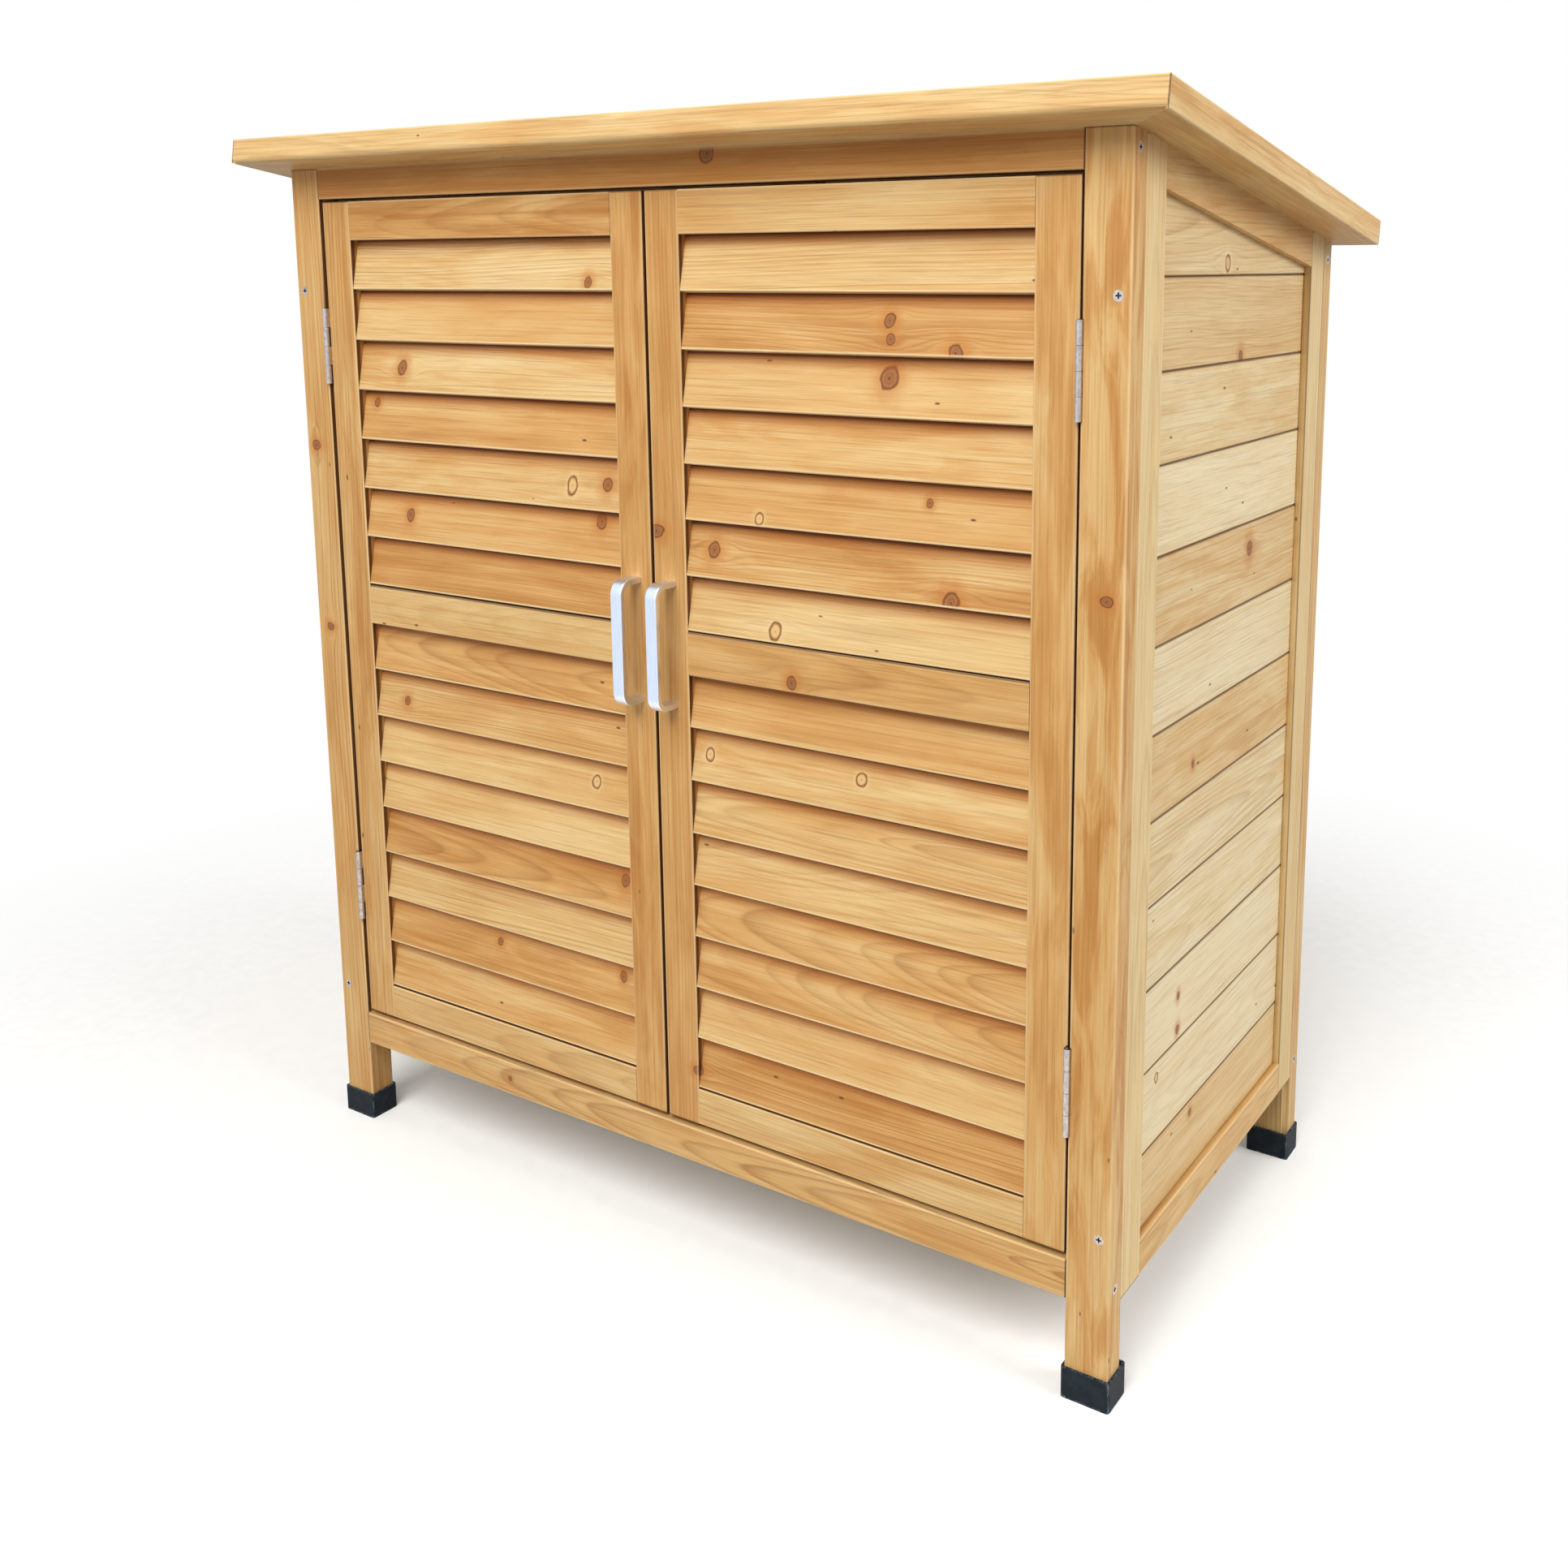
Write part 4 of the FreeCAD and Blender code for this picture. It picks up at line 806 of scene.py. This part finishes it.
def bendHandle(side, look):
    # one flat bar: a rounded section drawn up out of the door, spun round two bends and back into the door
    node = side + "_door_handle"
    low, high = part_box(node)
    middle = (low.x + high.x) / 2
    width, thickness, bendRadius = (look[key] * mm for key in ("width", "thickness", "outerBend"))
    bm = bmesh.new()
    made = bmesh.ops.create_grid(bm, x_segments=1, y_segments=1, size=0.5)["verts"]
    bmesh.ops.scale(bm, vec=(width, thickness, 1), verts=made)
    bmesh.ops.bevel(bm, geom=made, offset=look["arris"] * mm, segments=4, profile=0.5, affect="VERTICES",
                    material=-1)
    turn = Matrix.Translation((middle, high.y, high.z - thickness / 2)) @ Matrix.Rotation(math.pi / 2, 4, "X")
    bmesh.ops.transform(bm, matrix=turn, verts=bm.verts)
    bmesh.ops.delete(bm, geom=bm.faces[:], context="FACES_ONLY")
    start = bm.edges[:]

    def draw(ring, vector):
        geom = bmesh.ops.extrude_edge_only(bm, edges=ring)["geom"]
        bmesh.ops.translate(bm, vec=vector, verts=[v for v in geom if isinstance(v, bmesh.types.BMVert)])
        return [item for item in geom if isinstance(item, bmesh.types.BMEdge)]

    def bend(ring, height):
        geom = bmesh.ops.spin(bm, geom=ring, cent=(middle, low.y + bendRadius, height), axis=(1, 0, 0),
                              angle=math.pi / 2, steps=look["steps"])
        return [item for item in geom["geom_last"] if isinstance(item, bmesh.types.BMEdge)]

    ring = draw(start, (0, low.y + bendRadius - high.y, 0))
    ring = bend(ring, high.z - bendRadius)
    ring = draw(ring, (0, 0, low.z - high.z + 2 * bendRadius))
    ring = bend(ring, low.z + bendRadius)
    ring = draw(ring, (0, high.y - low.y - bendRadius, 0))
    for end in (start, ring):
        bmesh.ops.edgeloop_fill(bm, edges=end)
    bmesh.ops.remove_doubles(bm, verts=bm.verts, dist=touching)
    bmesh.ops.recalc_face_normals(bm, faces=bm.faces)
    finishPiece(bm, node + "_bar", node, satinAluminium, 50)


for side in ("left", "right"):
    bendHandle(side, handleLook)


def roundCaps(node, look):
    # rubber cups with rounded corners; the wear is strongest along the edges and at the foot
    bm = copyOf(node)
    softenEdges(bm, look["round"] * mm)
    long = [edge for edge in bm.edges if edge.calc_length() > look["longest"] * mm]
    bmesh.ops.subdivide_edges(bm, edges=long, cuts=look["cuts"], use_grid_fill=True)
    bmesh.ops.triangulate(bm, faces=[face for face in bm.faces if len(face.verts) > 4])
    wear = bm.verts.layers.float.new("wear")
    wide, tall = look["wearWide"] * mm, look["wearFoot"] * mm
    upright, under, around = look["wearMost"]
    for group in groupsOf(bm):
        low = [min(vert.co[i] for vert in group) for i in range(3)]
        high = [max(vert.co[i] for vert in group) for i in range(3)]
        for vert in group:
            corner = max(min(vert.co[i] - low[i], high[i] - vert.co[i]) for i in range(2))
            foot, rim = vert.co.z - low[2], high[2] - vert.co.z
            vert[wear] = max(upright - corner / wide, under - foot / tall, around - rim / wide, 0)
    finishPiece(bm, node + "_rubber", node, mouldedRubber, 50)


roundCaps("foot_caps", capLook)
print("fittings made")


# roof covering: two lapped strips of felt with clout nails, inside the room of the CAD sheet, in mm; a nail's
# head is its radius, taper, thickness and number of sides

coverLook = {
    "inset": 48, "end": 419.7,    # from the roof's edges, and where the sheet ends along the slope
    "depth": 2,                   # room under the frame's top
    "sheet": 1.3, "top": 1.95, "thickness": 0.5,    # middle height, its limit, and what is drawn
    "grid": (96, 32),             # quads of a strip
    "ripple": 0.108, "waves": (0.031, 0.043),    # waves in radians a mm, across and along
    "lapAt": 210, "lapOver": 55, "lapSlope": 8,    # the front strip lies on the rear one
    "lift": 0.6, "press": 0.75,   # that the one rises and the other gives
    "nail": (4.5, 0.8, 0.5, 12),
    "nailInset": 12, "rowInset": 14, "nailHeight": 1.72, "nailPlay": 2,
    "sideNails": 5, "rowNails": 9,
}


def roofPoint(x, along, height):
    # a point above the roof's underside, given along its slope from the front edge, in mm
    lift = math.radians(lean["roof"])
    base = Vector((x, roofPlane["front"], roofPlane["height"]))
    return (base + Vector((0, math.cos(lift), -math.sin(lift))) * along
            + Vector((0, math.sin(lift), math.cos(lift))) * height) * mm


def driveHead(bm, place, radius, taper, thick, sides):
    made = bmesh.ops.create_cone(bm, cap_ends=True, segments=sides, radius1=radius * mm,
                                 radius2=radius * taper * mm, depth=thick * mm)["verts"]
    bmesh.ops.transform(bm, matrix=place, verts=made)


def layFelt(look):
    halfWidth = roofPlane["width"] / 2 - look["inset"]
    ground = roofPlane["thickness"] - look["depth"]
    start, finish = look["inset"], look["end"]
    lapStart, lapEnd = look["lapAt"], look["lapAt"] + look["lapOver"]
    bm = bmesh.new()
    for number, (first, last) in enumerate(((start, lapEnd), (lapStart, finish))):
        made = bmesh.ops.create_grid(bm, x_segments=look["grid"][0], y_segments=look["grid"][1],
                                     size=0.5)["verts"]
        for vert in made:
            x = vert.co.x * 2 * halfWidth
            along = first + (vert.co.y + 0.5) * (last - first)
            across, endways = look["waves"]
            wave = math.sin(x * across + number) * math.sin(along * endways + 2 * number)
            top = look["sheet"] + wave * look["ripple"]
            intoLap = lapEnd - along if number else along - lapStart + look["lapSlope"]
            over = min(max(intoLap / look["lapSlope"], 0), 1)
            top += -look["press"] * over if number else look["lift"] * over
            vert.co = roofPoint(x, along, ground + min(top, look["top"]))
    bmesh.ops.solidify(bm, geom=bm.faces[:], thickness=look["thickness"] * mm)
    bmesh.ops.recalc_face_normals(bm, faces=bm.faces)
    finishPiece(bm, "roof_felt_strips", "roof_felt", roofingFelt, 50)

    # nails down both sides, and in a row along each end and the lap
    side, row, play = halfWidth - look["nailInset"], look["rowInset"], look["nailPlay"]
    sideStep = (finish - start - 2 * row) / (look["sideNails"] - 1)
    rowStep = 2 * side / (look["rowNails"] + 1)
    places = [(way * side, start + row + number * sideStep)
              for way in (-1, 1) for number in range(look["sideNails"])]
    places += [(-side + (number + 1) * rowStep, along)
               for along in (start + row, lapEnd - row, finish - row) for number in range(look["rowNails"])]
    tilt = Matrix.Rotation(-math.radians(lean["roof"]), 4, "X")
    dice = random.Random("felt")
    bm = bmesh.new()
    for x, along in places:
        spot = roofPoint(x + dice.uniform(-play, play), along, ground + look["nailHeight"])
        driveHead(bm, Matrix.Translation(spot) @ tilt, *look["nail"])
    finishPiece(bm, "roof_felt_nails", "roof_felt", zincPlate)


layFelt(coverLook)

# brad heads punched in beside each mitre, where the roof frame is nailed; places are mm along it and up
bradLook = {"head": (1.0, 0.7, 0.6, 10), "stand": 0.31, "places": [(12, 6), (12, 15)]}


def driveBrads(look):
    bm = bmesh.new()
    for side in (-1, 1):
        turn = Matrix.Rotation(side * math.pi / 2, 4, "Y")
        for along, height in look["places"] + [(roofPlane["length"] - a, h) for a, h in look["places"]]:
            spot = roofPoint(side * (roofPlane["width"] / 2 - look["stand"]), along, height)
            driveHead(bm, Matrix.Translation(spot) @ turn, *look["head"])
    piece = placeMesh(bm, "roof_brads", bareSteel)
    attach(piece, "cabinet")


driveBrads(bradLook)
print("roof covered")


# camera at the photograph's view, in m and degrees

cameraLook = {"place": (0.81266, -1.15065, 0.80291), "yaw": 32.3848, "pitch": -9.7134, "roll": -0.2434,
              "focal": 36.9872, "shift": (-0.05901, -0.15321)}


def makeCamera(look):
    yaw, pitch, roll = (math.radians(look[key]) for key in ("yaw", "pitch", "roll"))
    turn = (Matrix.Rotation(yaw, 4, "Z") @ Matrix.Rotation(math.pi / 2 + pitch, 4, "X")
            @ Matrix.Rotation(roll, 4, "Z"))
    data = bpy.data.cameras.new("viewCamera")
    data.sensor_width = 36
    data.lens = look["focal"]
    data.shift_x, data.shift_y = look["shift"]
    camera = bpy.data.objects.new("viewCamera", data)
    camera.matrix_world = Matrix.Translation(look["place"]) @ turn
    scene.collection.objects.link(camera)
    scene.camera = camera


makeCamera(cameraLook)

# three soft lamps, in m and watts
lampLook = {
    "sky": {"place": (0.4, -2.5, 3.1), "aim": (0, 0, 0.4), "size": 2.6, "watts": 126, "hex": "FFFFFF"},
    "front": {"place": (-0.6, -3.2, 1.3), "aim": (0, 0, 0.5), "size": 2.2, "watts": 7, "hex": "FFFBF4"},
    "side": {"place": (3.0, 0.3, 2.2), "aim": (0.3, 0, 0.5), "size": 2.0, "watts": 62, "hex": "FFFFFF"},
}
for name, look in lampLook.items():
    data = bpy.data.lights.new(name + "Lamp", "AREA")
    data.shape = "DISK"
    data.size = look["size"]
    data.energy = look["watts"]
    data.color = toLinear(look["hex"])[:3]
    lamp = bpy.data.objects.new(name + "Lamp", data)
    away = Vector(look["place"]) - Vector(look["aim"])
    lamp.matrix_world = Matrix.Translation(look["place"]) @ away.to_track_quat("Z", "Y").to_matrix().to_4x4()
    scene.collection.objects.link(lamp)

# colour and strength of what lights the wood, what metal mirrors and what the camera sees behind
worldLook = {"around": ("FFFCF6", 0.34), "mirrored": ("EFF7FF", 1.0), "backdrop": ("FFFFFF", 1.0)}


def lightRoom(look):
    world = bpy.data.worlds.new("studio")
    scene.world = world
    world.use_nodes = True
    tree = world.node_tree
    tree.nodes.clear()
    rays = addNode(tree, "LightPath")
    around, mirrored, backdrop = (addNode(tree, "Background", {}, shade) for shade in look.values())
    both = addNode(tree, "MixShader", {}, [(rays, "Is Glossy Ray"), around, mirrored])
    both = addNode(tree, "MixShader", {}, [(rays, "Is Camera Ray"), both, backdrop])
    addNode(tree, "OutputWorld", {}, [both])


lightRoom(worldLook)

floorLook = {"dark": "F6F6F5", "light": "FBFBFA", "grain": 16.7,    # mm
             "bounced": "B8B8B6",                   # what it throws back at the cabinet
             "lift": 0.12,                          # own light, so that it meets the white backdrop
             "radius": 3, "fade": (0.6, 1.35)}      # m from the middle, where it fades into the backdrop


def layFloor(look):
    # matt painted floor: off-white with a faint grain
    material, tree = newMaterial("mattPaintedFloor")
    place = (addNode(tree, "TexCoord"), "Object")
    distance = addNode(tree, "VectorMath", length, [place])
    fade = addNode(tree, "MapRange", smooth, [(distance, "Value"), *look["fade"], 0.0, 1.0])
    grain = addNode(tree, "TexNoise", {}, {"Vector": place, "Scale": perMetre(look["grain"]), "Detail": 4.0})
    colour = addNode(tree, "ValToRGB", {}, [grain], stops=[(0.3, look["dark"]), (0.7, look["light"])])
    rays = addNode(tree, "LightPath")
    inView = addNode(tree, "Math", higher, [(rays, "Is Camera Ray"), (rays, "Is Glossy Ray")])
    bounced = addNode(tree, "Mix", blend, {0: inView, 6: look["bounced"], 7: colour})
    matt = addNode(tree, "BsdfDiffuse", {}, [(bounced, 2)])
    lift = addNode(tree, "Math", times, [inView, look["lift"]])
    lift = addNode(tree, "Emission", {}, [colour, lift])
    matt = addNode(tree, "AddShader", {}, [matt, lift])
    clear = addNode(tree, "BsdfTransparent")
    faded = addNode(tree, "MixShader", {}, [fade, matt, clear])
    addNode(tree, "OutputMaterial", {}, [faded])
    bm = bmesh.new()
    bmesh.ops.create_circle(bm, cap_ends=True, segments=96, radius=look["radius"])
    placeMesh(bm, "studioFloor", material)


layFloor(floorLook)
print("studio ready")
